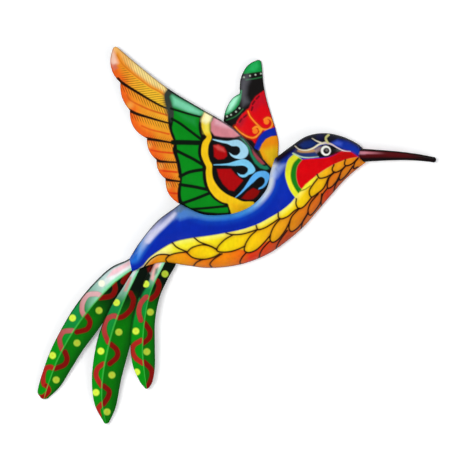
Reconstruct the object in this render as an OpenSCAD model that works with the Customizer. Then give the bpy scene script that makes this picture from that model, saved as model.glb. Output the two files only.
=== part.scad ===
// Hummingbird wall ornament in painted sheet steel.
// The bird is drawn on a board: x runs to the beak and z runs up, both in millimetres.
// Depth is measured forward from the wall, so a point at depth d has y = -d.
// The origin is the centre of the nail hole, on the wall plane.

/* [Sheet] */
// Thickness of the steel sheet
sheet_t = 1; // [0.7:0.1:1.6]
// Clearance between two pieces that rest on each other
seat_gap = 0.3; // [0.2:0.05:0.5]

/* [Body] */
// Height of the body's crest above the wall
body_rise = 32; // [28:0.5:40]
// Height of the straight wall along the shell's rim
rim_wall = 2; // [1:0.5:4]
// How far the shell's end is cut back over the beak
snout_notch = 5; // [2:0.5:7]
// Thickness of the sheet at the shell's end, where it is filed down to the beak
snout_t = 0.5; // [0.4:0.1:1]

/* [Beak] */
// Length of the beak outside the head
beak_len = 71.5; // [50:0.5:100]
// Diameter of the beak at the head
beak_base_d = 13; // [10:0.5:15]
// Diameter of the beak's round tip
beak_tip_d = 4; // [2:0.5:6]
// Drop of the beak's tip below its base
beak_drop = 4.8; // [0:0.2:10]
// Length of the shank inside the head
shank_len = 13; // [8:1:18]

/* [Near wing] */
// Length of the near wing outside the body
near_len = 186.8; // [150:0.2:220]
// Depth of the near wing's crown
near_crown_d = 17; // [15.5:0.5:20]
// Radius that the near wing's sheet is rolled to
near_roll_r = 170; // [140:5:260]

/* [Far wing] */
// Length of the far wing outside the body
far_len = 100; // [80:1:130]
// Radius that the far wing's sheet is rolled to
far_roll_r = 60; // [50:2:100]

/* [Tail] */
// Length of the outer tail feather outside the body
tail_outer_len = 159.5; // [120:0.5:190]
// Length of the middle tail feather outside the body
tail_middle_len = 159.5; // [120:0.5:190]
// Length of the inner tail feather outside the body
tail_inner_len = 124; // [90:1:150]
// Depth of the outer feather's edges where it leaves the body
tail_edge_d = 3; // [2:0.2:5]
// Height of a feather's crease at its root
crease_root = 1.8; // [1:0.2:2.6]
// Height of a feather's crease at its widest part
crease_rise = 4.6; // [3:0.2:7]
// Forward bow of the feathers halfway along
tail_bow = 7; // [3:0.5:12]

/* [Hanger] */
// Distance of the nail hole from the board's left side
hanger_x = 223.5; // [216:0.5:232]
// Height of the nail hole on the board
hanger_z = 310; // [296:1:325]
// Width of the hanger strap
strap_w = 14; // [10:1:20]
// Thickness of the hanger strap
strap_t = 2; // [1.5:0.5:3]
// Diameter of the nail hole
nail_hole_d = 6; // [4:0.5:8]
// Diameter of the stud between strap and near wing
stay_d = 7; // [5:0.5:10]
// Drop from the nail hole to the stud
stay_drop = 24; // [16:1:40]

/* [Welds] */
// Diameter of a weld tack
tack_d = 3; // [2:0.2:3.6]

/* [Hidden] */

// Facets of the round pieces
fine = 96;
tack_r = tack_d / 2;

// Mixes two values, or moves between two limits with a smooth start and end.
function mix(a, b, t) = a + (b - a) * t;
function clamp01(t) = max(0, min(1, t));
function ramp(a, b, t) = let (k = clamp01((t - a) / (b - a))) k * k * (3 - 2 * k);
function unit(v) = v / norm(v);

// Smooth curve through a list of points or numbers, between the corners lo and hi.
function knot(list, i, lo, hi) =
  i < lo ? 2 * list[lo] - list[lo + 1] : i > hi ? 2 * list[hi] - list[hi - 1] : list[i];
function through(a, b, c, d, t) =
  0.5 * (2 * b + (c - a) * t + (2 * a - 5 * b + 4 * c - d) * t * t + (3 * b - a - 3 * c + d) * t * t * t);
function spline(list, u, lo, hi) =
  let (i = max(lo, min(floor(u), hi - 1)))
  through(
    knot(list, i - 1, lo, hi), knot(list, i, lo, hi), knot(list, i + 1, lo, hi), knot(list, i + 2, lo, hi),
    u - i
  );
function curve(list, n) =
  let (last = len(list) - 1)
  [for (k = [0 : n * last]) spline(list, k / n, 0, last)];

// Lengthens the part of an outline that lies beyond a point, along one direction.
function stretched(p, from, way, k) =
  let (a = (p - from) * way)
  a > 0 ? p + way * a * (k - 1) : p;
function stretched_all(list, from, way, k) = [for (p = list) stretched(p, from, way, k)];

// Rounded feather end from a to b that stands out by a bulge.
function lobe(a, b, bulge, n) =
  let (side = unit([-(b - a)[1], (b - a)[0]]))
  [for (k = [0 : n - 1]) a + (b - a) * k / n + side * bulge * 4 * (k / n) * (1 - k / n)];

// Depth of a rolled sheet's face at a point, for a roll of radius r about a crown line.
function rolled_d(p, crown, side, crown_d, roll, r) =
  let (s = (p - crown) * side)
  crown_d - roll + sqrt(max(0, r * r - s * s));

// Near wing: its crown line runs along the leading edge's direction.
near_crown = [178, 315];
near_way = unit([-153, 119]);
near_side = [near_way[1], -near_way[0]];
function near_front(p) = rolled_d(p, near_crown, near_side, near_crown_d, near_roll_r, near_roll_r);
function near_back(p) = rolled_d(p, near_crown, near_side, near_crown_d, near_roll_r, near_roll_r - sheet_t);

near_from = [225, 260];
near_tip = [115.5, 423.6];
near_end = [near_tip - [2, 0.9], near_tip, near_tip + [2.3, -0.8]];
near_k = near_len / ((near_tip - near_from) * near_way);
near_leading = [
  [119.5, 421], [140, 403.5], [168, 381.5], [200, 362], [222, 349.5], [236, 340], [248, 328], [258, 316],
  [267, 306.5], [275, 297]
];
near_notches = [
  [112.5, 420.5], [120.5, 387], [130, 359.5], [147, 331.5], [156.5, 310], [165.5, 291], [181, 265.5]
];
near_bulges = [5.6, 3.2, 5.6, 3, 2.8, 5];
near_root = [[187, 257], [198, 249], [213, 246], [229, 247], [244, 252], [258, 261], [269, 274], [276, 287]];
near_outline = stretched_all(
  concat(
    near_end,
    curve(near_leading, 4),
    [for (k = [len(near_root) - 1 : -1 : 0]) near_root[k]],
    [
      for (i = [len(near_bulges) - 1 : -1 : 0])
      each lobe(near_notches[i + 1], near_notches[i], near_bulges[i], 8)
    ],
    [near_notches[0]]
  ),
  near_from, near_way, near_k
);

// Far wing: it lies as far forward as the near wing's leading edge lets it.
far_crown = [248, 360];
far_way = unit([-14, 100]);
far_side = [far_way[1], -far_way[0]];
function far_sag(p) =
  let (s = (p - far_crown) * far_side)
  far_roll_r - sqrt(max(0, far_roll_r * far_roll_r - s * s));
near_lap = curve([for (i = [4 : 9]) near_leading[i]], 4);
far_crown_d = min([for (p = near_lap) near_back(p) + far_sag(p)]) - seat_gap;
function far_front(p) = far_crown_d - far_sag(p);

far_from = [275, 312];
far_tip = [258, 410.7];
far_k = far_len / ((far_tip - far_from) * far_way);
far_right = [
  far_tip, [261.3, 408.7], [262.6, 398], [263.8, 385], [267.2, 369], [272.2, 353], [276.2, 340], [278.8, 328],
  [278.3, 317], [278.5, 308], [276, 298]
];
far_root = [[266, 291], [252, 300], [238, 318], [228, 337]];
far_low_lobe = [[223.5, 350], [225, 358.5], [229, 367.5], [233.5, 373], [240, 377]];
far_high_lobe = [[239.7, 382], [240.5, 391], [245, 401.5], [251, 407.5], [257, 410.3]];
far_outline = stretched_all(
  concat(curve(far_right, 4), far_root, curve(far_low_lobe, 4), curve(far_high_lobe, 4)),
  far_from, far_way, far_k
);

// Tail feathers: right edge, ridge and left edge at stations from root to tip.
outer_from = [131, 204];
outer_way = unit([-85, -132]);
outer_right = [
  [147, 203], [136.5, 193.5], [125, 178], [111, 158.5], [96.5, 138],
  [83, 120], [71, 101], [60, 83.5], [47.5, 71.2]
];
outer_ridge = [
  [143, 209], [131.5, 200], [115, 188], [98, 171], [82, 151.5],
  [68.5, 131], [57, 109], [47.5, 84], [43.5, 70.6]
];
outer_left = [
  [139, 218], [127.5, 210.4], [110, 202], [92, 185], [75.6, 164.6],
  [60.8, 140.2], [48, 113.5], [37.6, 81], [40, 71.8]
];

middle_from = [140, 202];
middle_way = unit([-36, -156]);
middle_right = [
  [155, 214], [152.5, 203.5], [147, 188], [141, 165], [134.5, 141],
  [129, 120], [121.5, 92], [116, 64], [109, 47.5]
];
middle_ridge = [
  [147, 213], [140, 202], [131.5, 185], [121.5, 163.5], [113, 140.5],
  [107.5, 119], [102.7, 93], [102, 68], [106, 46]
];
middle_left = [
  [143, 211], [133, 199], [121.5, 181], [109.7, 162], [100, 139],
  [94.8, 118], [91.8, 91], [94.4, 66], [103.5, 47.3]
];

inner_from = [163, 204];
inner_way = unit([-17, -123]);
inner_right = [
  [177, 214], [175.5, 205], [167.5, 190.5], [159.5, 172], [155.2, 149],
  [155, 124], [155, 104], [152.7, 89], [149.3, 82.5]
];
inner_ridge = [
  [168, 215], [163, 204], [155.5, 189.5], [149, 172.5], [144.5, 148],
  [142.7, 123], [143.7, 105], [145.3, 91], [146.7, 81]
];
inner_left = [
  [158, 214], [151, 203], [144, 189], [137.5, 171], [132, 148],
  [130.5, 123], [133, 104], [139.5, 89], [144.5, 82]
];

outer_k = tail_outer_len / ((outer_ridge[8] - outer_from) * outer_way);
middle_k = tail_middle_len / ((middle_ridge[8] - middle_from) * middle_way);
inner_k = tail_inner_len / ((inner_ridge[8] - inner_from) * inner_way);

// Depths of the feather stack at the body's mouth, each feather resting on the one behind.
middle_edge_d = tail_edge_d + crease_root + sheet_t + seat_gap;
inner_edge_d = middle_edge_d + 0.6 * crease_root + sheet_t + seat_gap;
tail_mouth_d = inner_edge_d + crease_root + seat_gap;

// The mouth lies at this station of a feather.
mouth_at = 1;
function feather_bow(u) = tail_bow * sin(180 * clamp01((u - mouth_at) / (8 - mouth_at)));
function feather_crease(u) =
  crease_root + (crease_rise - crease_root) * ramp(mouth_at, 3.5, u) * (1 - 0.6 * ramp(5.5, 8, u));
function feather_point(right, ridge, left, u, v, edge_d) =
  let (
    r = spline(right, u, 0, 8),
    m = spline(ridge, u, 0, 8),
    l = spline(left, u, 0, 8),
    p = m + (l - r) / 2 * v + ((l + r) / 2 - m) * v * v,
    d = edge_d + feather_bow(u) + feather_crease(u) * (1 - abs(v))
  )
  [p[0], -d, p[1]];

// Beak: a round taper about an axis that droops towards the tip.
beak_r = beak_base_d / 2;
beak_axis = [364.5, 314.8];
beak_axis_d = beak_r + seat_gap;
function beak_radius(s) = beak_tip_d / 2 + (beak_r - beak_tip_d / 2) * pow(1 - clamp01(s), 1.1);
function beak_centre(s) =
  [beak_axis[0] + s * (beak_len - beak_tip_d / 2), beak_axis[1] - beak_drop * pow(max(0, s), 3)];

// Body shell: top and bottom edge of its outline and its crest, at stations from tail to beak.
// The outline turns sharply where the scoop for the wings begins and ends.
snout_r = beak_r + seat_gap + snout_t;
body_top = [
  [129.5, 211.7], [139.3, 227.6], [157.3, 249.3], [180, 266], [202, 256], [222, 255], [240, 258.5],
  [255, 267], [267, 282], [270.5, 298], [275, 311.8], [290, 323.2], [307, 334.2], [325, 337.2],
  [342, 334], [356, 327.5],
  beak_axis + snout_r * [-0.2, 0.98]
];
body_bottom = [
  [132, 198.5], [148, 204.5], [165, 207.7], [188, 204.2], [207, 202], [228, 203.2], [248, 207.6],
  [269, 216.4], [288.3, 229.8], [304.3, 243.8], [316.3, 257.4], [326.2, 269], [335, 279.2],
  [343, 288.3], [351.7, 296.5], [360, 303.2],
  beak_axis + snout_r * [0.2, -0.98]
];
body_crest = concat(
  body_rise * [0.55, 0.64, 0.78, 0.9, 0.97, 1, 1, 1, 1, 0.99, 0.97, 0.93, 0.88, 0.82, 0.73, 0.59],
  [beak_axis_d + snout_r]
);
scoop_start = 3;
scoop_end = 10;
body_last = len(body_top) - 1;
body_steps = 5;
arch_steps = 14;

function top_edge(u) =
  u < scoop_start ? spline(body_top, u, 0, scoop_start)
    : u < scoop_end ? spline(body_top, u, scoop_start, scoop_end) : spline(body_top, u, scoop_end, body_last);
function bottom_edge(u) = spline(body_bottom, u, 0, body_last);

// Behind the rim the sheet is beaten smooth, so the scoop's sharp turns fade into the dome.
dome_top = [
  for (i = [0 : body_last])
  i == scoop_start || i == scoop_end ? (body_top[i - 1] + 2 * body_top[i] + body_top[i + 1]) / 4 : body_top[i]
];
function dome_edge(u, a) = mix(top_edge(u), spline(dome_top, u, 0, body_last), ramp(0, 75, a));
function across(u) = unit(bottom_edge(u) - top_edge(u));

// Place of a round weld tack inside the shell, beside the wall of its top or bottom edge.
function inward(a, b, way) = let (n = unit([a[1] - b[1], b[0] - a[0]])) n * way > 0 ? n : -n;
function by_top_wall(u, r) =
  top_edge(u) + across(u) * sheet_t * 1.1
    + inward(top_edge(u - 0.1), top_edge(u + 0.1), across(u)) * (seat_gap + r);
function by_bottom_wall(u, r) =
  bottom_edge(u) - across(u) * sheet_t * 1.1
    + inward(bottom_edge(u - 0.1), bottom_edge(u + 0.1), -across(u)) * (seat_gap + r);

// Depth of the rim: on the wall, or just in front of the wing or feather that passes under it.
function top_rim_d(u, p) =
  let (
    tail = 1 - ramp(0.4, 0.8, u),
    near = ramp(2.6, 2.95, u) * (1 - ramp(9.4, 9.6, u)),
    far = ramp(9.4, 9.6, u) * (1 - ramp(10.3, 10.8, u))
  )
  tail * (tail_edge_d + crease_root + seat_gap) + near * max(0, near_front(p) + seat_gap)
    + far * max(0, far_front(p) + seat_gap);
function bottom_rim_d(u) = tail_mouth_d * (1 - ramp(2.5, 3, u));
function wall_d(u) = mix(rim_wall, beak_axis_d, ramp(14, 16, u));

// Thickness of the shell's sheet, which thins towards the beak.
function shell_t(u) = mix(sheet_t, snout_t, ramp(15, 16, u));

// Point of the shell's section at station u; side is 0 on the outside and 1 on the inside.
function shell_point(u, j, side) =
  let (
    inset = side * shell_t(u),
    a = 180 * clamp01((j - 1) / arch_steps),
    top = dome_edge(u, a) + across(u) * inset,
    bottom = bottom_edge(u) - across(u) * inset,
    top_d = top_rim_d(u, top_edge(u) + across(u) * inset),
    bottom_d = bottom_rim_d(u),
    f = (1 - cos(a)) / 2,
    base_d = mix(top_d, bottom_d, f) + wall_d(u),
    p = mix(top, bottom, f) - [snout_notch * ramp(15, 16, u) * sin(a), 0],
    crest_d = spline(body_crest, u, 0, body_last) - inset,
    d = j == 0 ? top_d : j == arch_steps + 2 ? bottom_d : mix(base_d, crest_d, sin(a))
  )
  [p[0], -d, p[1]];

// Lowest point inside the belly that the strap's end can reach.
strap_end_z = max([
  for (k = [0 : body_steps * body_last])
  let (u = k / body_steps, p = bottom_edge(u) - across(u) * sheet_t)
  if (abs(p[0] - hanger_x) < strap_w / 2 + 4) p[1]
]) + seat_gap;

// Closed sheet between a front and a back grid of points of the same size.
module sheet(front, back) {
  rows = len(front);
  cols = len(front[0]);
  n = rows * cols;
  function id(r, c) = r * cols + c;
  points = concat([for (row = front) each row], [for (row = back) each row]);
  faces = concat(
    [
      for (r = [0 : rows - 2], c = [0 : cols - 2])
      each [
        [id(r, c), id(r + 1, c), id(r + 1, c + 1)],
        [id(r, c), id(r + 1, c + 1), id(r, c + 1)],
        [n + id(r, c), n + id(r + 1, c + 1), n + id(r + 1, c)],
        [n + id(r, c), n + id(r, c + 1), n + id(r + 1, c + 1)]
      ]
    ],
    [
      for (r = [0 : rows - 2])
      each [
        [id(r + 1, 0), id(r, 0), n + id(r, 0)],
        [id(r + 1, 0), n + id(r, 0), n + id(r + 1, 0)],
        [id(r, cols - 1), id(r + 1, cols - 1), n + id(r + 1, cols - 1)],
        [id(r, cols - 1), n + id(r + 1, cols - 1), n + id(r, cols - 1)]
      ]
    ],
    [
      for (c = [0 : cols - 2])
      each [
        [id(0, c), id(0, c + 1), n + id(0, c + 1)],
        [id(0, c), n + id(0, c + 1), n + id(0, c)],
        [id(rows - 1, c + 1), id(rows - 1, c), n + id(rows - 1, c)],
        [id(rows - 1, c + 1), n + id(rows - 1, c), n + id(rows - 1, c + 1)]
      ]
    ]
  );
  polyhedron(points, faces, convexity = 6);
}

// Moves the board so that the nail hole is the origin.
module on_wall() {
  translate([-hanger_x, 0, -hanger_z]) children();
}

// Sheet cut to an outline and rolled about a crown line.
module rolled_sheet(outline, crown, way, crown_d, roll_r) {
  intersection() {
    rotate([90, 0, 0]) linear_extrude(2 * body_rise) polygon(outline);
    translate([crown[0], roll_r - crown_d, crown[1]]) rotate([0, atan2(way[0], way[1]), 0]) difference() {
      cylinder(h = 4 * near_len, r = roll_r, center = true, $fn = 2 * fine);
      cylinder(h = 5 * near_len, r = roll_r - sheet_t, center = true, $fn = 2 * fine);
    }
  }
}

// Feather with a crease along its ridge.
module feather(right, ridge, left, edge_d) {
  steps = 24;
  halves = [-1, -0.66, -0.33, 0, 0.33, 0.66, 1];
  front = [
    for (k = [0 : steps])
    [for (v = halves) feather_point(right, ridge, left, 8 * k / steps, v, edge_d)]
  ];
  back = [for (row = front) [for (p = row) p + [0, sheet_t, 0]]];
  sheet(front, back);
}

// Round weld tack at a board point and depth.
module tack(p, d) {
  translate([p[0], -d, p[1]]) sphere(d = tack_d, $fn = 32);
}

module body_shell() {
  stations = [for (k = [0 : body_steps * body_last]) k / body_steps];
  front = [for (u = stations) [for (j = [0 : arch_steps + 2]) shell_point(u, j, 0)]];
  back = [for (u = stations) [for (j = [0 : arch_steps + 2]) shell_point(u, j, 1)]];
  color("royalblue") on_wall() sheet(front, back);
}

module beak() {
  sides = 24;
  rings = 18;
  tip_rings = 4;
  stations = concat(
    [[beak_axis[0] - shank_len, beak_axis[1], beak_r]],
    [for (k = [0 : rings]) let (c = beak_centre(k / rings)) [c[0], c[1], beak_radius(k / rings)]],
    [
      for (k = [1 : tip_rings])
      let (c = beak_centre(1), a = 85 * k / tip_rings)
      [c[0] + beak_tip_d / 2 * sin(a), c[1], beak_tip_d / 2 * cos(a)]
    ]
  );
  last = len(stations) - 1;
  points = [
    for (s = stations, k = [0 : sides - 1])
    [s[0], -beak_axis_d - s[2] * cos(360 * k / sides), s[1] + s[2] * sin(360 * k / sides)]
  ];
  walls = [
    for (i = [0 : last - 1], k = [0 : sides - 1])
    let (a = i * sides + k, b = i * sides + (k + 1) % sides)
    each [[a, b, b + sides], [a, b + sides, a + sides]]
  ];
  ends = [[for (k = [sides - 1 : -1 : 0]) k], [for (k = [0 : sides - 1]) last * sides + k]];
  color("maroon") on_wall() polyhedron(points, concat(walls, ends), convexity = 4);
}

module near_wing() {
  color("orange") on_wall() rolled_sheet(near_outline, near_crown, near_way, near_crown_d, near_roll_r);
}

module far_wing() {
  color("firebrick") on_wall() rolled_sheet(far_outline, far_crown, far_way, far_crown_d, far_roll_r);
}

module tail_outer() {
  color("green") on_wall() feather(
    stretched_all(outer_right, outer_from, outer_way, outer_k),
    stretched_all(outer_ridge, outer_from, outer_way, outer_k),
    stretched_all(outer_left, outer_from, outer_way, outer_k),
    tail_edge_d
  );
}

module tail_middle() {
  color("green") on_wall() feather(
    stretched_all(middle_right, middle_from, middle_way, middle_k),
    stretched_all(middle_ridge, middle_from, middle_way, middle_k),
    stretched_all(middle_left, middle_from, middle_way, middle_k),
    middle_edge_d
  );
}

module tail_inner() {
  color("green") on_wall() feather(
    stretched_all(inner_right, inner_from, inner_way, inner_k),
    stretched_all(inner_ridge, inner_from, inner_way, inner_k),
    stretched_all(inner_left, inner_from, inner_way, inner_k),
    inner_edge_d
  );
}

module hanger_strap() {
  end_r = strap_w / 2;
  color("dimgray") difference() {
    union() {
      translate([-end_r, -strap_t, strap_end_z - hanger_z]) cube([strap_w, strap_t, hanger_z - strap_end_z]);
      rotate([90, 0, 0]) cylinder(h = strap_t, r = end_r, $fn = fine);
    }
    translate([0, 1, 0]) rotate([90, 0, 0]) cylinder(h = strap_t + 2, d = nail_hole_d, $fn = fine);
  }
}

module wing_stay() {
  foot_d = strap_t + seat_gap;
  head_d = near_back([hanger_x, hanger_z - stay_drop]) - 2 * seat_gap;
  color("dimgray") translate([0, -foot_d, -stay_drop])
    rotate([90, 0, 0]) cylinder(h = head_d - foot_d, d = stay_d, $fn = fine);
}

module near_wing_tacks() {
  color("dimgray") on_wall() for (u = [4, 6, 8]) {
    p = by_top_wall(u, tack_r);
    tack(p, near_front(p) + seat_gap + tack_r);
  }
}

module far_wing_tacks() {
  color("dimgray") on_wall() for (u = [9.8, 10.15]) {
    p = by_top_wall(u, tack_r);
    tack(p, far_front(p) + seat_gap + tack_r);
  }
}

module tail_tacks() {
  color("dimgray") on_wall() {
    for (place = [[0.5, middle_edge_d], [1.95, inner_edge_d]]) {
      p = by_bottom_wall(place[0], tack_r);
      tack(p, place[1] + crease_root + seat_gap + tack_r);
    }
    q = by_top_wall(0.3, tack_r);
    tack(q, tail_edge_d + crease_root + seat_gap + tack_r);
  }
}

module beak_tacks() {
  // Last stations where a tack still fits between the shank and the shell
  room = beak_r + 1.25 * (tack_d + sheet_t) + 3 * seat_gap;
  stations = [for (k = [0 : 40]) 14 + k / 20];
  upper = max([for (u = stations) if (top_edge(u)[1] - beak_axis[1] > room) u]);
  lower = max([for (u = stations) if (beak_axis[1] - bottom_edge(u)[1] > room) u]);
  color("dimgray") on_wall() {
    tack([top_edge(upper)[0], beak_axis[1] + beak_r + seat_gap + tack_r], beak_axis_d);
    tack([bottom_edge(lower)[0], beak_axis[1] - beak_r - seat_gap - tack_r], beak_axis_d);
  }
}

module strap_tacks() {
  color("dimgray") for (side = [-1, 1])
    translate([side * strap_w / 4, -strap_t - seat_gap - tack_r, strap_end_z - hanger_z + tack_r + seat_gap])
      sphere(d = tack_d, $fn = 32);
}

body_shell();
beak();
near_wing();
far_wing();
tail_outer();
tail_middle();
tail_inner();
hanger_strap();
wing_stay();
near_wing_tacks();
far_wing_tacks();
tail_tacks();
beak_tacks();
strap_tacks();
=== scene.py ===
"""Painted sheet-steel hummingbird: dense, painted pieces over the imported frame.

The bird is drawn on a board of 470 by 470 mm, one millimetre to each pixel of the photograph.
Paint is laid out in those pixels (y down). Shapes use the board's height z = 470 - y and the depth d
forward of the wall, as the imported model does. The row's origin is the nail hole.
"""

import math

import bpy
import numpy as np
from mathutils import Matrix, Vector
from mathutils.geometry import delaunay_2d_cdt

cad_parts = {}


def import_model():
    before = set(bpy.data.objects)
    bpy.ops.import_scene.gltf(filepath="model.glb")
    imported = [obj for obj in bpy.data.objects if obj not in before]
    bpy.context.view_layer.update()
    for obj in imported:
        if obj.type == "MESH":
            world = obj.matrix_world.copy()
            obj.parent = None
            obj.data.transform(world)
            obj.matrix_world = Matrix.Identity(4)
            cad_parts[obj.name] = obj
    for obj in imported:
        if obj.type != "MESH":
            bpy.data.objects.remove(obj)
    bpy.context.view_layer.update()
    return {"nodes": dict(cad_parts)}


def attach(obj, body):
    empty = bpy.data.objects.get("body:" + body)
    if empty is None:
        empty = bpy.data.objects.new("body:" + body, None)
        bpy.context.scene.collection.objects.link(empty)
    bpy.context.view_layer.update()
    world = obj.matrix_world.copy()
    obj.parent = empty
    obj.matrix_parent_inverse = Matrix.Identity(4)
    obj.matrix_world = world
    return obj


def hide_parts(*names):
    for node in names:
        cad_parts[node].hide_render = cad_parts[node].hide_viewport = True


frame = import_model()

# Board and sheet, in millimetres
BOARD = 470.0
NAIL = np.array([223.5, 310.0])
MM = 0.001
SHEET_T = 1.0
SEAT_GAP = 0.3

# Tail feathers
TAIL_EDGE_D = 3.0
CREASE_ROOT = 1.8
CREASE_RISE = 4.6
TAIL_BOW = 7.0
FEATHER_MOUTH = 1.0
FEATHER_LAST = 8
CREASE_FULL = 3.5
CREASE_EBB = 5.5
TIP_CREASE_LOSS = 0.6
MIDDLE_EDGE_D = TAIL_EDGE_D + CREASE_ROOT + SHEET_T + SEAT_GAP
INNER_EDGE_D = MIDDLE_EDGE_D + 0.6 * CREASE_ROOT + SHEET_T + SEAT_GAP
TAIL_MOUTH_D = INNER_EDGE_D + CREASE_ROOT + SEAT_GAP

# Beak
BEAK_R = 6.5
BEAK_LEN = 71.5
SHANK_LEN = 13.0
BEAK_AXIS = np.array([364.5, 314.8])
BEAK_AXIS_D = BEAK_R + SEAT_GAP

# Body shell
BODY_RISE = 32.0
RIM_WALL = 2.0
SNOUT_NOTCH = 5.0
SNOUT_T = 0.5
SNOUT_R = BEAK_R + SEAT_GAP + SNOUT_T

FAR_AWAY = 1e9


# Number helpers

def ramp(a, b, t):
    """Smooth rise from 0 at a to 1 at b."""
    k = np.clip((t - a) / (b - a), 0.0, 1.0)
    return k * k * (3.0 - 2.0 * k)


def fade(a, b, t):
    """Smooth fall from 1 at a to 0 at b."""
    return 1.0 - ramp(a, b, t)


def mix(a, b, t):
    return a + (b - a) * t


def unit(v):
    v = np.asarray(v, float)
    return v / np.linalg.norm(v)


def linear(rgb):
    """Colour from 0 to 255, as it looks, to linear light."""
    c = np.asarray(rgb, float) / 255.0
    return np.where(c <= 0.04045, c / 12.92, ((c + 0.055) / 1.055) ** 2.4)


def spline(points, u, lo=0, hi=None):
    """Smooth curve through the points at the stations u, between the corners lo and hi."""
    pts = np.asarray(points, float)
    flat = pts.ndim == 1
    pts = pts.reshape(len(pts), -1)
    hi = len(pts) - 1 if hi is None else hi
    u = np.asarray(u, float)
    i = np.clip(np.floor(u).astype(int), lo, hi - 1)
    padded = np.concatenate([[2 * pts[lo] - pts[lo + 1]], pts[lo:hi + 1], [2 * pts[hi] - pts[hi - 1]]])
    j = i - lo + 1
    a, b, c, d = padded[j - 1], padded[j], padded[j + 1], padded[j + 2]
    t = (u - i)[..., None]
    rise = c - a
    bend = 2 * a - 5 * b + 4 * c - d
    twist = 3 * b - a - 3 * c + d
    p = 0.5 * (2 * b + rise * t + bend * t ** 2 + twist * t ** 3)
    return p[..., 0] if flat else p


def curve(points, n=6):
    """Smooth line through the points, with n steps from each to the next."""
    last = len(points) - 1
    return spline(points, np.linspace(0, last, last * n + 1))


def between(one, other):
    """Closed loop between two smooth lines that run the same way."""
    return np.concatenate([curve(one), curve(other)[::-1]])


def flip(points):
    """Board heights to photograph rows, or back."""
    p = np.array(points, float)
    p[..., 1] = BOARD - p[..., 1]
    return p


def resample(loop, step):
    """Closed loop of points about one step apart that keeps the loop's corners."""
    out = []
    for a, b in zip(loop, np.roll(loop, -1, axis=0)):
        n = max(1, int(round(np.linalg.norm(b - a) / step)))
        out += [a + (b - a) * k / n for k in range(n)]
    return np.array(out)


def distance(x, y, line, closed=False):
    """Distance of every point to a line through the given points."""
    pts = np.asarray(line, float)
    ends = np.roll(pts, -1, axis=0) if closed else pts[1:]
    best = np.full(x.shape, FAR_AWAY)
    for (ax, ay), (bx, by) in zip(pts, ends):
        dx, dy = bx - ax, by - ay
        length = max(dx * dx + dy * dy, 1e-12)
        t = np.clip(((x - ax) * dx + (y - ay) * dy) / length, 0, 1)
        best = np.minimum(best, (x - ax - t * dx) ** 2 + (y - ay - t * dy) ** 2)
    return np.sqrt(best)


def side_of(x, y, line):
    """Distance to a line, and whether each point lies above it when it runs to the right."""
    best = np.full(x.shape, FAR_AWAY)
    above = np.zeros(x.shape, bool)
    for a, b in zip(line, line[1:]):
        d = distance(x, y, [a, b])
        cross = (b[0] - a[0]) * (y - a[1]) - (b[1] - a[1]) * (x - a[0])
        above = np.where(d < best, cross < 0, above)
        best = np.minimum(best, d)
    return best, above


def inside(x, y, loop):
    """Whether each point lies in a closed loop."""
    pts = np.asarray(loop, float)
    result = np.zeros(x.shape, bool)
    for (ax, ay), (bx, by) in zip(pts, np.roll(pts, -1, axis=0)):
        if ay == by:
            continue
        crossing = (ay > y) != (by > y)
        result ^= crossing & (x < (bx - ax) * (y - ay) / (by - ay) + ax)
    return result


def depth_in(x, y, loop):
    """Distance to a closed loop, below 0 outside it."""
    return distance(x, y, loop, closed=True) * np.where(inside(x, y, loop), 1, -1)


def tones(x, stops):
    """Colours that run from stop to stop."""
    colours = np.array([linear(colour) for _, colour in stops])
    return np.stack([np.interp(x, [at for at, _ in stops], colours[:, k]) for k in range(3)], axis=1)


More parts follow.
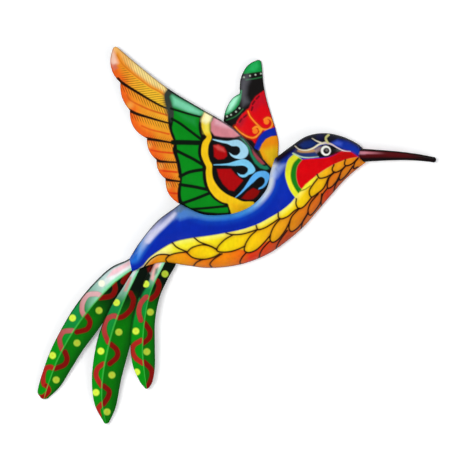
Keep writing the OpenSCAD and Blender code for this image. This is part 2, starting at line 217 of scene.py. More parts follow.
class Paint:
    """Brushwork on the points of a surface, in photograph pixels."""

    def __init__(self, points, colour):
        self.x = points[:, 0]
        self.y = BOARD - points[:, 1]
        self.colour = np.tile(linear(colour), (len(points), 1))
        self.relief = np.zeros(len(points))
        self.barb = np.zeros(len(points))
        self.barb_amount = np.zeros(len(points))

    def to(self, line, closed=False):
        """Distance of every point to a line."""
        return distance(self.x, self.y, line, closed)

    def blend(self, mask, colour):
        """Blends one colour into the whole surface, and smooths the brush marks under it."""
        self.colour += mask[:, None] * (linear(colour) - self.colour)
        self.relief *= 1 - mask

    def wash(self, mask, stops):
        """Blends in colours that run from column to column."""
        self.colour += mask[:, None] * (tones(self.x, stops) - self.colour)

    def near(self, points, margin):
        """Indices of the points in the box round the given ones."""
        pts = np.asarray(points, float)
        low, high = pts.min(axis=0) - margin, pts.max(axis=0) + margin
        in_columns = (self.x > low[0]) & (self.x < high[0])
        return np.nonzero(in_columns & (self.y > low[1]) & (self.y < high[1]))[0]

    def part(self, index, mask, light, thick):
        """Blends linear colour into some of the points, and raises them as thick as its brush mark."""
        self.colour[index] += mask[:, None] * (light - self.colour[index])
        self.relief[index] += mask * (thick - self.relief[index])

    def fill(self, loop, colour, soft=0.5, amount=1.0, thick=0.5):
        """Fills a closed loop, with an edge that is soft by that many pixels."""
        i = self.near(loop, soft + 1)
        if len(i) == 0:
            return
        d = depth_in(self.x[i], self.y[i], loop)
        self.part(i, amount * ramp(-soft, soft, d), linear(colour), thick)

    def patches(self, table):
        """Fills loops in turn, from rows of what fill takes: loop, colour, soft edge and amount."""
        for row in table.values():
            self.fill(*row)

    def stroke(self, points, colour, width, soft=0.45, amount=1.0, taper=(1, 1), thick=0.8, smooth=True):
        """Draws a brush stroke; taper gives the width at its start and end as shares of the width."""
        line = curve(points) if smooth else np.asarray(points, float)
        i = self.near(line, width + soft + 1)
        if len(i) == 0:
            return
        x, y = self.x[i], self.y[i]
        half = width / 2 * np.linspace(taper[0], taper[1], len(line))
        edge = np.full(x.shape, -FAR_AWAY)
        for k in range(len(line) - 1):
            reach = (half[k] + half[k + 1]) / 2
            edge = np.maximum(edge, reach - distance(x, y, line[k:k + 2]))
        share = amount if np.isscalar(amount) else amount[i]
        self.part(i, share * ramp(-soft, soft, edge), linear(colour), thick)

    def strokes(self, table):
        """Draws strokes in turn, from rows of what stroke takes: points, colour, width and so on."""
        for row in table.values():
            self.stroke(*row)

    def dot(self, centre, radius, colour, soft=0.5, amount=1.0, thick=0.8):
        i = self.near([centre], radius + soft + 1)
        d = radius - np.hypot(self.x[i] - centre[0], self.y[i] - centre[1])
        self.part(i, amount * ramp(-soft, soft, d), linear(colour), thick)


# Paint colours, as they look on the object (0 to 255)
BLACK = (9, 9, 10)
NAVY = (8, 11, 34)
BLUE = (6, 48, 180)
DEEP_BLUE = (5, 32, 160)
SCOOP_HIGHLIGHT_BLUE = (10, 84, 210)
SKY_BLUE = (48, 138, 232)
PALE_LEMON = (252, 250, 190)
LEMON = (248, 242, 52)
YELLOW = (246, 220, 14)
GOLD = (246, 196, 12)
AMBER = (236, 162, 18)
ORANGE = (232, 134, 20)
TANGERINE = (230, 112, 26)
VERMILION = (226, 54, 14)
BRICK = (204, 72, 22)
RUST = (184, 78, 20)
BROWN = (52, 22, 6)
RED = (216, 2, 12)
DARK_RED = (186, 6, 6)
CREAM = (240, 232, 205)
TAN = (206, 156, 92)
MINT = (136, 226, 186)
GREEN = (4, 136, 24)
LINE_GREEN = (40, 112, 62)


# Materials

def set_inputs(tree, node, inputs):
    """Sets a node's inputs: a socket is linked, any other value is a constant."""
    for key, value in inputs.items():
        if isinstance(value, bpy.types.NodeSocket):
            tree.links.new(value, node.inputs[key])
        else:
            node.inputs[key].default_value = value


def add_node(tree, kind, inputs, output=0, **settings):
    """Adds a node with its settings and inputs, and returns one of its outputs."""
    node = tree.nodes.new("ShaderNode" + kind)
    for key, value in settings.items():
        setattr(node, key, value)
    set_inputs(tree, node, inputs)
    return node.outputs[output]


def new_material(name):
    material = bpy.data.materials.new(name)
    material.use_nodes = True
    return material, material.node_tree, material.node_tree.nodes["Principled BSDF"]


def attribute(tree, name, output="Fac"):
    return add_node(tree, "Attribute", {}, output, attribute_name=name)


def noise(tree, cells, detail, stretch=None):
    """Noise on the piece's own coordinates, with so many cells to the metre."""
    place = add_node(tree, "TexCoord", {}, "Object")
    if stretch:
        place = add_node(tree, "Mapping", {"Vector": place, "Scale": stretch})
    inputs = {"Vector": place, "Scale": cells, "Detail": detail, "Roughness": 0.55}
    return add_node(tree, "TexNoise", inputs, "Fac")


def remap(tree, value, low, high):
    """Spreads the middle range of a noise from low to high."""
    limits = {"From Min": 0.3, "From Max": 0.7, "To Min": low, "To Max": high}
    return add_node(tree, "MapRange", {"Value": value, **limits})


def colour_ramp(tree, value, stops):
    """Colours by a value, from stops of position and colour."""
    node = tree.nodes.new("ShaderNodeValToRGB")
    elements = node.color_ramp.elements
    for _ in stops[2:]:
        elements.new(1.0)
    for element, (position, colour) in zip(elements, stops):
        element.position = position
        element.color = (*colour, 1)
    set_inputs(tree, node, {"Fac": value})
    return node.outputs["Color"]


def bump(tree, height, strength, depth, normal=None):
    """Normal of a surface that is raised by a height, up to a depth in metres."""
    inputs = {"Height": height, "Strength": strength, "Distance": depth}
    if normal is not None:
        inputs["Normal"] = normal
    return add_node(tree, "Bump", inputs)


def barbs(tree, colour):
    """Fine dark combs over the paint, where the points carry them."""
    wave = add_node(tree, "Math", {0: attribute(tree, "barb")}, operation="SINE")
    crests = {"Value": wave, "From Min": 0.0, "From Max": 0.9}
    lines = add_node(tree, "MapRange", crests, interpolation_type="SMOOTHSTEP")
    share = add_node(tree, "Math", {0: lines, 1: attribute(tree, "barb_amount")}, operation="MULTIPLY")
    dark = add_node(tree, "HueSaturation", {"Color": colour, "Value": 0.3})
    return add_node(tree, "Mix", {"Factor": share, "A": colour, "B": dark}, "Result", data_type="RGBA")


def lacquer():
    """Brushed enamel under clear lacquer: pigment varies, strokes stand out, metal is faintly dented."""
    material, tree, shader = new_material("brushed_lacquer")
    pigment = remap(tree, noise(tree, cells=90.0, detail=4.0), 0.93, 1.07)
    streaks = remap(tree, noise(tree, cells=400.0, detail=2.0, stretch=(1.0, 1.0, 0.25)), 0.96, 1.04)
    value = add_node(tree, "Math", {0: pigment, 1: streaks}, operation="MULTIPLY")
    tone = add_node(tree, "HueSaturation", {"Color": attribute(tree, "paint", "Color"), "Value": value})
    normal = bump(tree, noise(tree, cells=60.0, detail=1.0), strength=0.25, depth=0.0012)
    normal = bump(tree, attribute(tree, "relief"), strength=0.15, depth=0.0004, normal=normal)
    normal = bump(tree, noise(tree, cells=900.0, detail=2.0), strength=0.08, depth=0.0002, normal=normal)
    set_inputs(tree, shader, {
        "Base Color": barbs(tree, tone),
        "Roughness": remap(tree, noise(tree, cells=140.0, detail=2.0), 0.3, 0.42),
        "Normal": normal,
        "Specular IOR Level": 0.0,
        "Coat Weight": 0.17,
        "Coat IOR": 1.35,
        "Coat Roughness": 0.15,
    })
    return material


def satin_black(name, light):
    """Satin black of the backs, cut edges and hanger, with a few brown freckles."""
    material, tree, shader = new_material(name)
    cloud = noise(tree, cells=220.0, detail=4.0)
    shades = [(0.35, (0.75, 0.75, 0.78)), (0.72, (1.25, 1.2, 1.14)), (0.79, (2.4, 1.3, 0.8))]
    stops = [(position, [light * share for share in shade]) for position, shade in shades]
    dents = bump(tree, noise(tree, cells=70.0, detail=2.0), strength=0.3, depth=0.0012)
    set_inputs(tree, shader, {
        "Base Color": colour_ramp(tree, cloud, stops),
        "Roughness": remap(tree, cloud, 0.38, 0.62),
        "Normal": bump(tree, cloud, strength=0.15, depth=0.0003, normal=dents),
        "Specular IOR Level": 0.15,
    })
    return material


def weld_steel():
    """Weld beads: grey steel with straw and blue heat tints."""
    material, tree, shader = new_material("weld_bead_steel")
    tint = noise(tree, cells=500.0, detail=3.0)
    set_inputs(tree, shader, {
        "Base Color": colour_ramp(tree, tint, [(0.3, (0.1, 0.1, 0.12)), (0.7, (0.34, 0.27, 0.2))]),
        "Metallic": 1.0,
        "Roughness": remap(tree, tint, 0.3, 0.55),
        "Normal": bump(tree, noise(tree, cells=1400.0, detail=2.0), strength=0.5, depth=0.0003),
    })
    return material


LACQUER = lacquer()
BACK_PAINT = satin_black("satin_black_back", light=0.03)
HANGER_PAINT = satin_black("satin_black_hanger", light=0.07)
WELD = weld_steel()


# Meshes

SMOOTH_ANGLE = 60.0
BACK_COARSER = 8
CLOSE = 1e-7


def link(name, data):
    """New object in the scene."""
    thing = bpy.data.objects.new(name, data)
    bpy.context.collection.objects.link(thing)
    return thing


def store_paint(mesh, paint, count):
    """Keeps the paint on the first of the mesh's points; the others are black and bare of brush marks."""
    painted = len(paint.colour)
    colour = np.ones((count, 4))
    colour[:, :3] = linear(BLACK)
    colour[:painted, :3] = np.clip(paint.colour, 0, 1)
    mesh.color_attributes.new("paint", "FLOAT_COLOR", "POINT").data.foreach_set("color", colour.ravel())
    for key in ("relief", "barb", "barb_amount"):
        values = np.zeros(count)
        values[:painted] = getattr(paint, key)
        mesh.attributes.new(key, "FLOAT", "POINT").data.foreach_set("value", values)


def add_piece(name, node, points, faces, front_faces, paint):
    """Closed painted piece that stands for a node; its first points and faces are the painted front."""
    place = np.stack([points[:, 0] - NAIL[0], -points[:, 2], points[:, 1] - NAIL[1]], axis=1) * MM
    mesh = bpy.data.meshes.new(name)
    mesh.from_pydata(place.tolist(), [], faces)
    store_paint(mesh, paint, len(points))
    mesh.materials.append(LACQUER)
    mesh.materials.append(BACK_PAINT)
    material_index = np.ones(len(faces), np.int32)
    material_index[:front_faces] = 0
    mesh.polygons.foreach_set("material_index", material_index)
    mesh.polygons.foreach_set("use_smooth", np.ones(len(faces), bool))
    mesh.set_sharp_from_angle(angle=math.radians(SMOOTH_ANGLE))
    mesh.update()
    piece = link(name, mesh)
    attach(piece, "root")
    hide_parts(node)


def quads(ids):
    """Four-sided faces of a grid of point numbers."""
    return np.stack([ids[:-1, :-1], ids[:-1, 1:], ids[1:, 1:], ids[1:, :-1]], axis=-1).reshape(-1, 4)


def around(ids):
    """Point numbers round the border of a grid."""
    return np.concatenate([ids[0, :-1], ids[:-1, -1], ids[-1, :0:-1], ids[:0:-1, 0]]).tolist()


def closed_grid(front, back, k):
    """Points and faces of a sheet whose back grid has every k-th row and column of its front grid."""
    points = np.concatenate([front.reshape(-1, 3), back.reshape(-1, 3)])
    ids = np.arange(len(points))
    front_count = front.shape[0] * front.shape[1]
    front_ids = ids[:front_count].reshape(front.shape[:2])
    back_ids = ids[front_count:].reshape(back.shape[:2])
    front_quads = quads(front_ids).tolist()
    faces = front_quads + quads(back_ids)[:, [0, 3, 2, 1]].tolist()
    front_loop, back_loop = around(front_ids), around(back_ids)
    for i, start in enumerate(back_loop):
        end = back_loop[(i + 1) % len(back_loop)]
        span = [front_loop[(i * k + j) % len(front_loop)] for j in range(k + 1)]
        faces += [[span[j + 1], span[j], start] for j in range(k)]
        faces.append([span[k], start, end])
    return points, faces, len(front_quads)


def hex_points(loop, step, margin):
    """Even points inside a loop, kept a margin away from it."""
    low, high = loop.min(axis=0), loop.max(axis=0)
    rows = np.arange(low[1], high[1], step * math.sqrt(0.75))
    cols = np.arange(low[0], high[0], step)
    x = (cols[None, :] + (np.arange(len(rows)) % 2)[:, None] * step / 2).ravel()
    y = np.repeat(rows, len(cols))
    keep = inside(x, y, loop)
    x, y = x[keep], y[keep]
    keep = distance(x, y, loop, closed=True) > margin
    return np.stack([x[keep], y[keep]], axis=1)


def triangles(loop, inner):
    """Points and triangles, anticlockwise, of a loop with inner points."""
    pts = np.concatenate([loop, inner])
    n = len(loop)
    edges = [(i, (i + 1) % n) for i in range(n)]
    verts, _, faces, _, _, _ = delaunay_2d_cdt([Vector(p) for p in pts], edges, [], 1, CLOSE)
    verts = np.array([tuple(v) for v in verts])
    assert len(verts) == len(pts)
    return verts, [list(face) for face in faces]


def flat_sheet(outline, step, depth):
    """Points and faces of a sheet cut to an outline, with a fine front and a coarse back."""
    loop = resample(outline, step)
    area = np.sum(loop[:, 0] * np.roll(loop[:, 1], -1) - loop[:, 1] * np.roll(loop[:, 0], -1))
    if area < 0:
        loop = loop[::-1]
    n = len(loop)
    front, front_faces = triangles(loop, hex_points(loop, step, 0.5 * step))
    back, back_faces = triangles(loop, hex_points(loop, BACK_COARSER * step, 2 * step))
    base = len(front)
    points = np.concatenate([
        np.column_stack([front, depth(front)]),
        np.column_stack([back, depth(back, SHEET_T)]),
    ])
    faces = front_faces + [[base + i for i in reversed(face)] for face in back_faces]
    faces += [[(i + 1) % n, i, base + i, base + (i + 1) % n] for i in range(n)]
    return points, faces, front, len(front_faces)


# Wing sheets, rolled about crown lines

NEAR_CROWN = np.array([178.0, 315.0])
NEAR_WAY = unit([-153, 119])
NEAR_SIDE = np.array([NEAR_WAY[1], -NEAR_WAY[0]])
NEAR_CROWN_D = 17.0
NEAR_ROLL_R = 170.0
FAR_CROWN = np.array([248.0, 360.0])
FAR_WAY = unit([-14, 100])
FAR_SIDE = np.array([FAR_WAY[1], -FAR_WAY[0]])
FAR_ROLL_R = 60.0
NEAR_LEADING = np.array([
    [119.5, 421], [140, 403.5], [168, 381.5], [200, 362], [222, 349.5], [236, 340], [248, 328], [258, 316],
    [267, 306.5], [275, 297],
])


def near_d(p, inset=0.0):
    """Depth of the near wing's front, or of the surface an inset behind it."""
    s = (p - NEAR_CROWN) @ NEAR_SIDE
    return NEAR_CROWN_D - NEAR_ROLL_R + np.sqrt(np.maximum(0, (NEAR_ROLL_R - inset) ** 2 - s * s))


def far_sag(p, inset=0.0):
    """How far the far wing falls back from its crown line."""
    s = (p - FAR_CROWN) @ FAR_SIDE
    return FAR_ROLL_R - np.sqrt(np.maximum(0, (FAR_ROLL_R - inset) ** 2 - s * s))


# The far wing lies just behind the near wing's leading edge
LEADING_OVER_FAR = curve(NEAR_LEADING[4:], 4)
FAR_CROWN_D = np.min(near_d(LEADING_OVER_FAR, SHEET_T) + far_sag(LEADING_OVER_FAR)) - SEAT_GAP


def far_d(p, inset=0.0):
    return FAR_CROWN_D - far_sag(p, inset)


# Body shell: edges and crest at stations from the tail to the beak

BODY_TOP = np.array([
    [129.5, 211.7], [139.3, 227.6], [157.3, 249.3], [180, 266], [202, 256], [222, 255], [240, 258.5],
    [255, 267], [267, 282], [270.5, 298], [275, 311.8], [290, 323.2], [307, 334.2], [325, 337.2],
    [342, 334], [356, 327.5], BEAK_AXIS + SNOUT_R * np.array([-0.2, 0.98]),
])
BODY_BOTTOM = np.array([
    [132, 198.5], [148, 204.5], [165, 207.7], [188, 204.2], [207, 202], [228, 203.2], [248, 207.6],
    [269, 216.4], [288.3, 229.8], [304.3, 243.8], [316.3, 257.4], [326.2, 269], [335, 279.2],
    [343, 288.3], [351.7, 296.5], [360, 303.2], BEAK_AXIS + SNOUT_R * np.array([0.2, -0.98]),
])
CREST_SHARE = np.array([0.55, 0.64, 0.78, 0.9, 0.97, 1, 1, 1, 1, 0.99, 0.97, 0.93, 0.88, 0.82, 0.73, 0.59])
BODY_CREST = np.append(BODY_RISE * CREST_SHARE, BEAK_AXIS_D + SNOUT_R)
BODY_LAST = len(BODY_TOP) - 1
SCOOP_START = 3
SCOOP_END = 10
# Behind the rim the scoop's sharp turns fade into the dome
DOME_TOP = BODY_TOP.copy()
for turn in (SCOOP_START, SCOOP_END):
    DOME_TOP[turn] = (BODY_TOP[turn - 1] + 2 * BODY_TOP[turn] + BODY_TOP[turn + 1]) / 4
DOME_ANGLE = 75.0
# Stations between which the rim changes
OVER_TAIL = (0.4, 0.8)
OVER_NEAR_WING = (2.6, 2.95)
OVER_FAR_WING = (9.4, 9.6)
PAST_FAR_WING = (10.3, 10.8)
PAST_TAIL_MOUTH = (2.5, 3.0)
BEAK_WALL = (14, 16)
SNOUT = (15, 16)


def top_edge(u):
    """Upper edge at the stations u, with sharp turns at both ends of the scoop."""
    low = spline(BODY_TOP, np.minimum(u, SCOOP_START), 0, SCOOP_START)
    scoop = spline(BODY_TOP, np.clip(u, SCOOP_START, SCOOP_END), SCOOP_START, SCOOP_END)
    high = spline(BODY_TOP, np.maximum(u, SCOOP_END), SCOOP_END, BODY_LAST)
    return np.where((u < SCOOP_START)[..., None], low, np.where((u < SCOOP_END)[..., None], scoop, high))


def top_rim_d(u, p):
    """Depth of the upper rim's back, just in front of the tail and the wings."""
    tail = fade(*OVER_TAIL, u)
    near = ramp(*OVER_NEAR_WING, u) * fade(*OVER_FAR_WING, u)
    far = ramp(*OVER_FAR_WING, u) * fade(*PAST_FAR_WING, u)
    return (
        tail * (TAIL_EDGE_D + CREASE_ROOT + SEAT_GAP)
        + near * np.maximum(0, near_d(p) + SEAT_GAP)
        + far * np.maximum(0, far_d(p) + SEAT_GAP)
    )


def shell_grid(stations, angles, side):
    """Outside (side 0) or inside (side 1) of the shell; angles past 0 and 180 run down the rim's wall."""
    u = np.repeat(stations[:, None], len(angles), axis=1)
    inset = side * mix(SHEET_T, SNOUT_T, ramp(*SNOUT, stations))[:, None]
    way = spline(BODY_BOTTOM, stations) - top_edge(stations)
    way /= np.linalg.norm(way, axis=1, keepdims=True)
    rim = top_edge(stations)
    bottom = spline(BODY_BOTTOM, stations) - way * inset
    top_d = top_rim_d(stations, rim + way * inset)[:, None]
    bottom_d = (TAIL_MOUTH_D * fade(*PAST_TAIL_MOUTH, stations))[:, None]
    wall = mix(RIM_WALL, BEAK_AXIS_D, ramp(*BEAK_WALL, stations))[:, None]
    a = np.radians(np.clip(angles, 0, 180))[None, :]
    f = (1 - np.cos(a)) / 2
    base = mix(top_d, bottom_d, f) + wall
    crest = spline(BODY_CREST, stations)[:, None] - inset
    d = mix(base, crest, np.sin(a))
    down = np.clip(np.where(angles < 0, -angles, angles - 180), 0, 1)[None, :]
    d = d - down * wall
    smooth = ramp(0, math.radians(DOME_ANGLE), a)[..., None]
    top = mix(rim[:, None, :], spline(DOME_TOP, stations)[:, None, :], smooth) + (way * inset)[:, None, :]
    p = mix(top, bottom[:, None, :], f[..., None])
    p[..., 0] -= SNOUT_NOTCH * ramp(*SNOUT, u) * np.sin(a)
    return np.concatenate([p, d[..., None]], axis=2)


# Paint of the body's back

UPPER_EDGE_POINTS = 61
BOTTOM_POINTS = 129
BACK_START = 0.3
NAPE_START = 10.1
CROWN_START = 11.2
# Painted highlights along the upper edges, by column
SCOOP_HIGHLIGHT = [
    (178, (104, 136, 180)), (186, (84, 132, 182)), (194, (90, 152, 234)), (212, (72, 156, 240)),
    (230, (58, 142, 232)), (245, (72, 164, 246)), (253, (104, 182, 252)), (258, (150, 208, 254)),
    (263, (204, 230, 255)), (268, (240, 250, 255)),
]
BACK_HIGHLIGHT = [
    (132, (24, 100, 212)), (136.5, (24, 104, 212)), (140.5, (120, 178, 255)), (145, (190, 208, 255)),
    (150, (222, 222, 255)), (156, (212, 212, 255)), (163, (152, 160, 210)), (170, (132, 138, 192)),
    (177, (128, 148, 186)),
]
# Columns or rows between which paint comes in or goes out
SCOOP_HIGHLIGHT_ROWS = (158, 168)
BACK_SKY_HIGHLIGHT_END = (176, 186)
BACK_HIGHLIGHT_END = (175, 182)
NAPE_COLUMNS = (272, 278)
RIM_END = (354, 360)
LOWER_EDGE_START = (150, 180)
LOWER_EDGE_END = (352, 360)
# Painted highlight on the nape
NAPE_HIGHLIGHT = ([
    (271, 177), (274, 169), (280, 165), (286, 164.5), (281, 171), (276, 178),
], (160, 186, 240), 3.4, 0.75)
# Painted shade along the rump inside the rim, and a painted highlight beside it
RUMP_SHADE_AND_HIGHLIGHT = {
    "shade": ([
        (151, 228), (157, 221.5), (163, 216), (169, 211), (175, 206.5),
    ], (44, 46, 92), 4.0, 2.0, 0.8, (0.5, 1.0)),
    "glow": ([
        (148, 240.5), (152.3, 235.8), (157.4, 230.8), (163.4, 225.4), (169.3, 219.8), (174.6, 214.2),
    ], (226, 226, 255), 5.0, 1.8, 0.9, (1.2, 0.8)),
}
# Painted highlight at the scoop's corner, light blue fading to grey
SCOOP_CORNER_HIGHLIGHT = {
    "glow": ([
        (180, 208), (187, 209.5), (196, 213.5), (197, 217), (188, 217.5), (180, 220), (176, 217),
    ], (86, 142, 212), 3.0, 0.8),
    "grey": ([(176, 206), (181, 204.5), (186, 208), (181, 212.5), (177, 212)], (94, 124, 158), 1.6, 0.85),
}
SNOUT_PATCH = ([
    (357.8, 156), (359.6, 153.4), (361, 150.6), (366, 150), (366, 160), (363.6, 161.4), (360, 159),
], (112, 24, 28), 0.7)
# Painted highlight on the seam between snout and beak
SNOUT_HIGHLIGHT = ([(363, 149.2), (361, 151.4), (359.4, 154.2)], (178, 150, 186), 1.7, 0.7, 0.9)

# Belly: its upper line, and the outlines of the painted scales from the tail to the throat
BELLY_LINE = [
    (132.3, 272.7), (137.4, 269.4), (143.2, 265.4), (145.4, 262.5), (149, 258.2), (153.3, 254.6),
    (158.4, 250.9), (164.2, 247.3), (171.4, 243.3), (180, 240.2), (195, 237.5), (210, 235.5), (225, 233),
    (240, 230), (250, 227), (260, 223), (270, 217.5), (280, 211.5), (290, 203.5), (297, 195), (302, 189),
    (309, 182), (317, 175), (325, 169.5), (333, 165), (342, 161), (350, 158.5), (358, 157),
]
THROAT_LINE = BELLY_LINE[-2:-9:-1]
CHIN = [(362, 158.5), (367, 162.5)]
OVER_RIM = np.array([0.0, 3.0])
UPPER_SCALES = [
    [(172.5, 242.5), (177.5, 247.5), (187, 251.7)],
    [(194.5, 237.8), (200, 242), (208, 245), (216.5, 249)],
    [(226, 233), (232, 234.6), (241, 234.3), (250, 232), (257.5, 229.3)],
    [(256, 225.5), (258, 229.7), (265, 227.7), (272, 223.5), (279, 218.5)],
    [(278, 212.5), (278.2, 217.5), (281.5, 219), (288, 216.2), (294, 211), (299, 208.3)],
    [(296, 199), (295.7, 204.5), (298.5, 208.8), (304, 206.3), (311, 198)],
    [(317, 179), (310.7, 187.5), (308.8, 193), (311.3, 197.2), (317, 193.7), (323.5, 188), (328, 178)],
    [(316.7, 174.7), (319, 178.4), (325, 177.6), (330.5, 174.8), (334, 172)],
    [(333.6, 165), (331.8, 169.5), (334, 172.7), (340, 170.7), (345.5, 166)],
    [(345, 160), (344.2, 164.4), (346.5, 166), (352, 163.8), (358, 158)],
]
MIDDLE_SCALES = [
    [(187, 252.5), (192, 247.8), (202, 244.8), (211, 246.3), (217, 249.7)],
    [(187, 252.5), (193, 257.5), (203, 259.3), (213, 257.3), (220, 253.5)],
    [
        (233, 234.8), (225, 239.5), (218.5, 246), (217, 250.3), (221, 252), (230, 251.6), (238, 249.2),
        (245, 246),
    ],
    [
        (257, 230), (250, 236.5), (245.5, 244), (244.3, 250), (248, 252.6), (256, 250), (264, 242.5),
        (270, 235.5),
    ],
    [
        (279.5, 219.3), (274, 226), (270.6, 233.5), (270, 240), (273, 242.3), (278.5, 239), (285, 230.5),
        (289.5, 222),
    ],
    [
        (299, 208.7), (292, 216), (289.2, 223), (289, 229.3), (292, 231.5), (298, 227.5), (304, 219.5),
        (308, 212),
    ],
    [
        (318, 194), (311, 202), (308, 209), (308.3, 213.8), (311, 215), (316, 209.5), (320.5, 202),
        (321.5, 194),
    ],
    [(334, 172.7), (329.5, 177), (327.3, 183), (327.3, 188), (331, 187.3), (336, 182), (340, 174.5)],
    [(344.5, 167), (340.7, 172), (339, 178), (341, 180), (347, 174.5), (352.5, 166.5)],
    [(357.5, 158.8), (354.5, 163), (353.5, 168.5), (358, 167)],
]
LOWER_SCALES = [
    [(144.5, 266.5), (149.7, 260.4), (153.3, 257.5), (158.4, 254.9), (164.2, 254.3), (169.5, 255)],
    [(187, 251.8), (177.2, 253), (170.5, 255), (167, 257.6), (166, 260), (167.6, 262.6), (171, 264.6)],
    [(193, 266.5), (197, 262), (203, 259.3)],
    [(222, 253.7), (214, 259), (210, 264), (212, 267.5)],
    [(246, 252.7), (242, 257.5), (240, 262), (241, 264)],
    [(269, 241.5), (262, 249.5), (259.3, 256.5), (260, 260)],
    [(287, 230.5), (280, 240), (276.5, 247), (277, 250)],
    [(307.5, 214), (303, 221), (301.5, 228), (302, 231)],
    [(327, 188.5), (322.3, 195), (321, 202.5), (322, 207)],
    [(339, 179), (335.5, 184.5), (334, 191)],
]
# Lower ends of the upper and of the middle row, along the scales' own outlines
ROOT_FOOT = LOWER_SCALES[0][:5] + LOWER_SCALES[1][2::-1]
UPPER_FOOT = (
    ROOT_FOOT + MIDDLE_SCALES[0][1:] + MIDDLE_SCALES[2][2::-1] + UPPER_SCALES[2][2:]
    + UPPER_SCALES[3][2:] + UPPER_SCALES[4][3:] + UPPER_SCALES[5][3:] + UPPER_SCALES[6][4:]
    + UPPER_SCALES[8][2:] + UPPER_SCALES[9][3:]
)
MIDDLE_FOOT = (
    ROOT_FOOT + MIDDLE_SCALES[1][1:] + MIDDLE_SCALES[2][5:7]
    + sum((row[3:7] for row in MIDDLE_SCALES[3:7]), []) + [(322, 196)]
    + MIDDLE_SCALES[7][3:6] + MIDDLE_SCALES[8][2:] + MIDDLE_SCALES[9][2:] + [(365, 163)]
)
# Colours of the rows, by column
UPPER_ROW = [
    (140, (252, 251, 226)), (154, PALE_LEMON), (174, LEMON), (225, YELLOW), (290, YELLOW), (315, GOLD),
    (335, AMBER), (358, ORANGE),
]
MIDDLE_ROW = [
    (187, GOLD), (225, YELLOW), (258, GOLD), (280, AMBER), (298, ORANGE), (315, TANGERINE), (345, ORANGE),
]
LOWER_ROW = [
    (145, (214, 84, 26)), (155, ORANGE), (165, AMBER), (185, (252, 156, 14)), (205, (252, 132, 12)),
    (225, (254, 142, 8)), (240, (246, 112, 18)), (250, (244, 52, 16)), (272, (226, 74, 24)), (290, BRICK),
    (305, TANGERINE), (318, TANGERINE), (326, VERMILION), (335, BRICK), (350, TANGERINE),
]
# Painted highlight along the belly's upper line, and the columns where it fades out
BELLY_HIGHLIGHT = (252, 251, 128)
BELLY_HIGHLIGHT_END = (290, 330)
BELLY_EDGE = (16, 52, 64)
BELLY_EDGE_END = (190, 250)
SCALE_LINE = (34, 14, 4)
SCALE_LINE_W = 1.55
SCALE_SHADE_W = 4.4
# Painted highlights at the belly's ends: lemon at the throat, pale lavender at the tail end
BELLY_END_HIGHLIGHTS = {
    "throat": ([
        (301, 190), (305, 185), (311, 180), (317, 176), (317, 179), (311, 185), (306, 189),
    ], LEMON, 0.8),
    "tail": ([
        (134, 272.5), (139, 268.7), (143, 265.6), (145, 264.6), (142, 269), (137, 272.5),
    ], (228, 234, 250), 1.0),
}
THROAT_SHADE = ([(299, 191.5), (305, 189.4), (310, 186)], (120, 128, 20), 1.1, 0.45, 0.9)

# Head
BROW_LINE = [
    (295, 146), (299, 149.5), (306, 150.6), (313, 148.4), (319, 144.6), (325, 143), (331, 144.5),
    (336, 147.5), (343, 151), (350, 151.6),
]
BROW_END = [(361, 156), (354, 155)]
COLLAR_OUTER = [(294, 154), (288, 160), (285.5, 168), (285, 176), (287, 184), (290, 191), (295, 198)]
COLLAR_MIDDLE = [(298, 158.3), (293, 164), (290.5, 172), (290.5, 179), (293, 186), (298, 194)]
COLLAR_INNER = [(302, 160), (297.5, 166), (296, 173), (296.5, 180), (298.5, 186), (302, 190)]
COLLAR_YELLOW = (236, 236, 44)
COLLAR_GREEN = (20, 128, 22)
CHEEK_TOP = [
    (302, 160), (307, 159.4), (313, 159), (320, 158.6), (328, 157.6), (334, 155.4), (338.5, 152.8),
    (343, 151.4), (350, 152), (354, 154.5), (358, 157),
]
HEAD_PATCHES = {
    "crown_glow": ([
        (299, 145), (304, 141.5), (311, 140.5), (317, 143.5), (311, 147.6), (303, 148.8),
    ], (17, 46, 122), 2.0),
    "lore": ([
        (331, 143), (338, 139.8), (348, 141.8), (356, 146), (361, 150.5), (359, 155.5), (353, 154),
        (346, 151), (337, 147),
    ], (16, 52, 172), 2.4),
    # Painted highlight on the lore
    "lore_highlight": ([
        (332, 143.5), (337, 140.8), (342, 143), (341, 146), (336, 146),
    ], (74, 104, 224), 2.2, 0.75),
    "ear": ([
        (296, 148.5), (306, 151), (314, 148.5), (320, 146), (321, 157), (309, 158), (300, 156.5),
        (293, 153.5),
    ], (58, 62, 92), 1.2),
    "ear_light": ([
        (298, 150.5), (306, 151.5), (313, 149.5), (316, 151.5), (308, 153.4), (300, 152.6),
    ], TAN, 1.4),
    "ear_blue": ([
        (298, 154), (306, 153), (314, 153.2), (318, 155), (312, 157), (303, 156.6),
    ], (32, 56, 116), 1.2),
    "eye_ground": ([
        (317, 149), (322, 145), (329, 144.6), (334, 146.8), (343, 151.3), (338, 153.4), (333, 155.7),
        (327, 157.6), (319, 158), (316.6, 154),
    ], BLACK, 0.9),
}
CHEEK_SHADE = ([
    (330, 158), (338, 154), (344, 152), (352, 154), (356, 157), (345, 160), (334, 164),
], DARK_RED, 3.5)
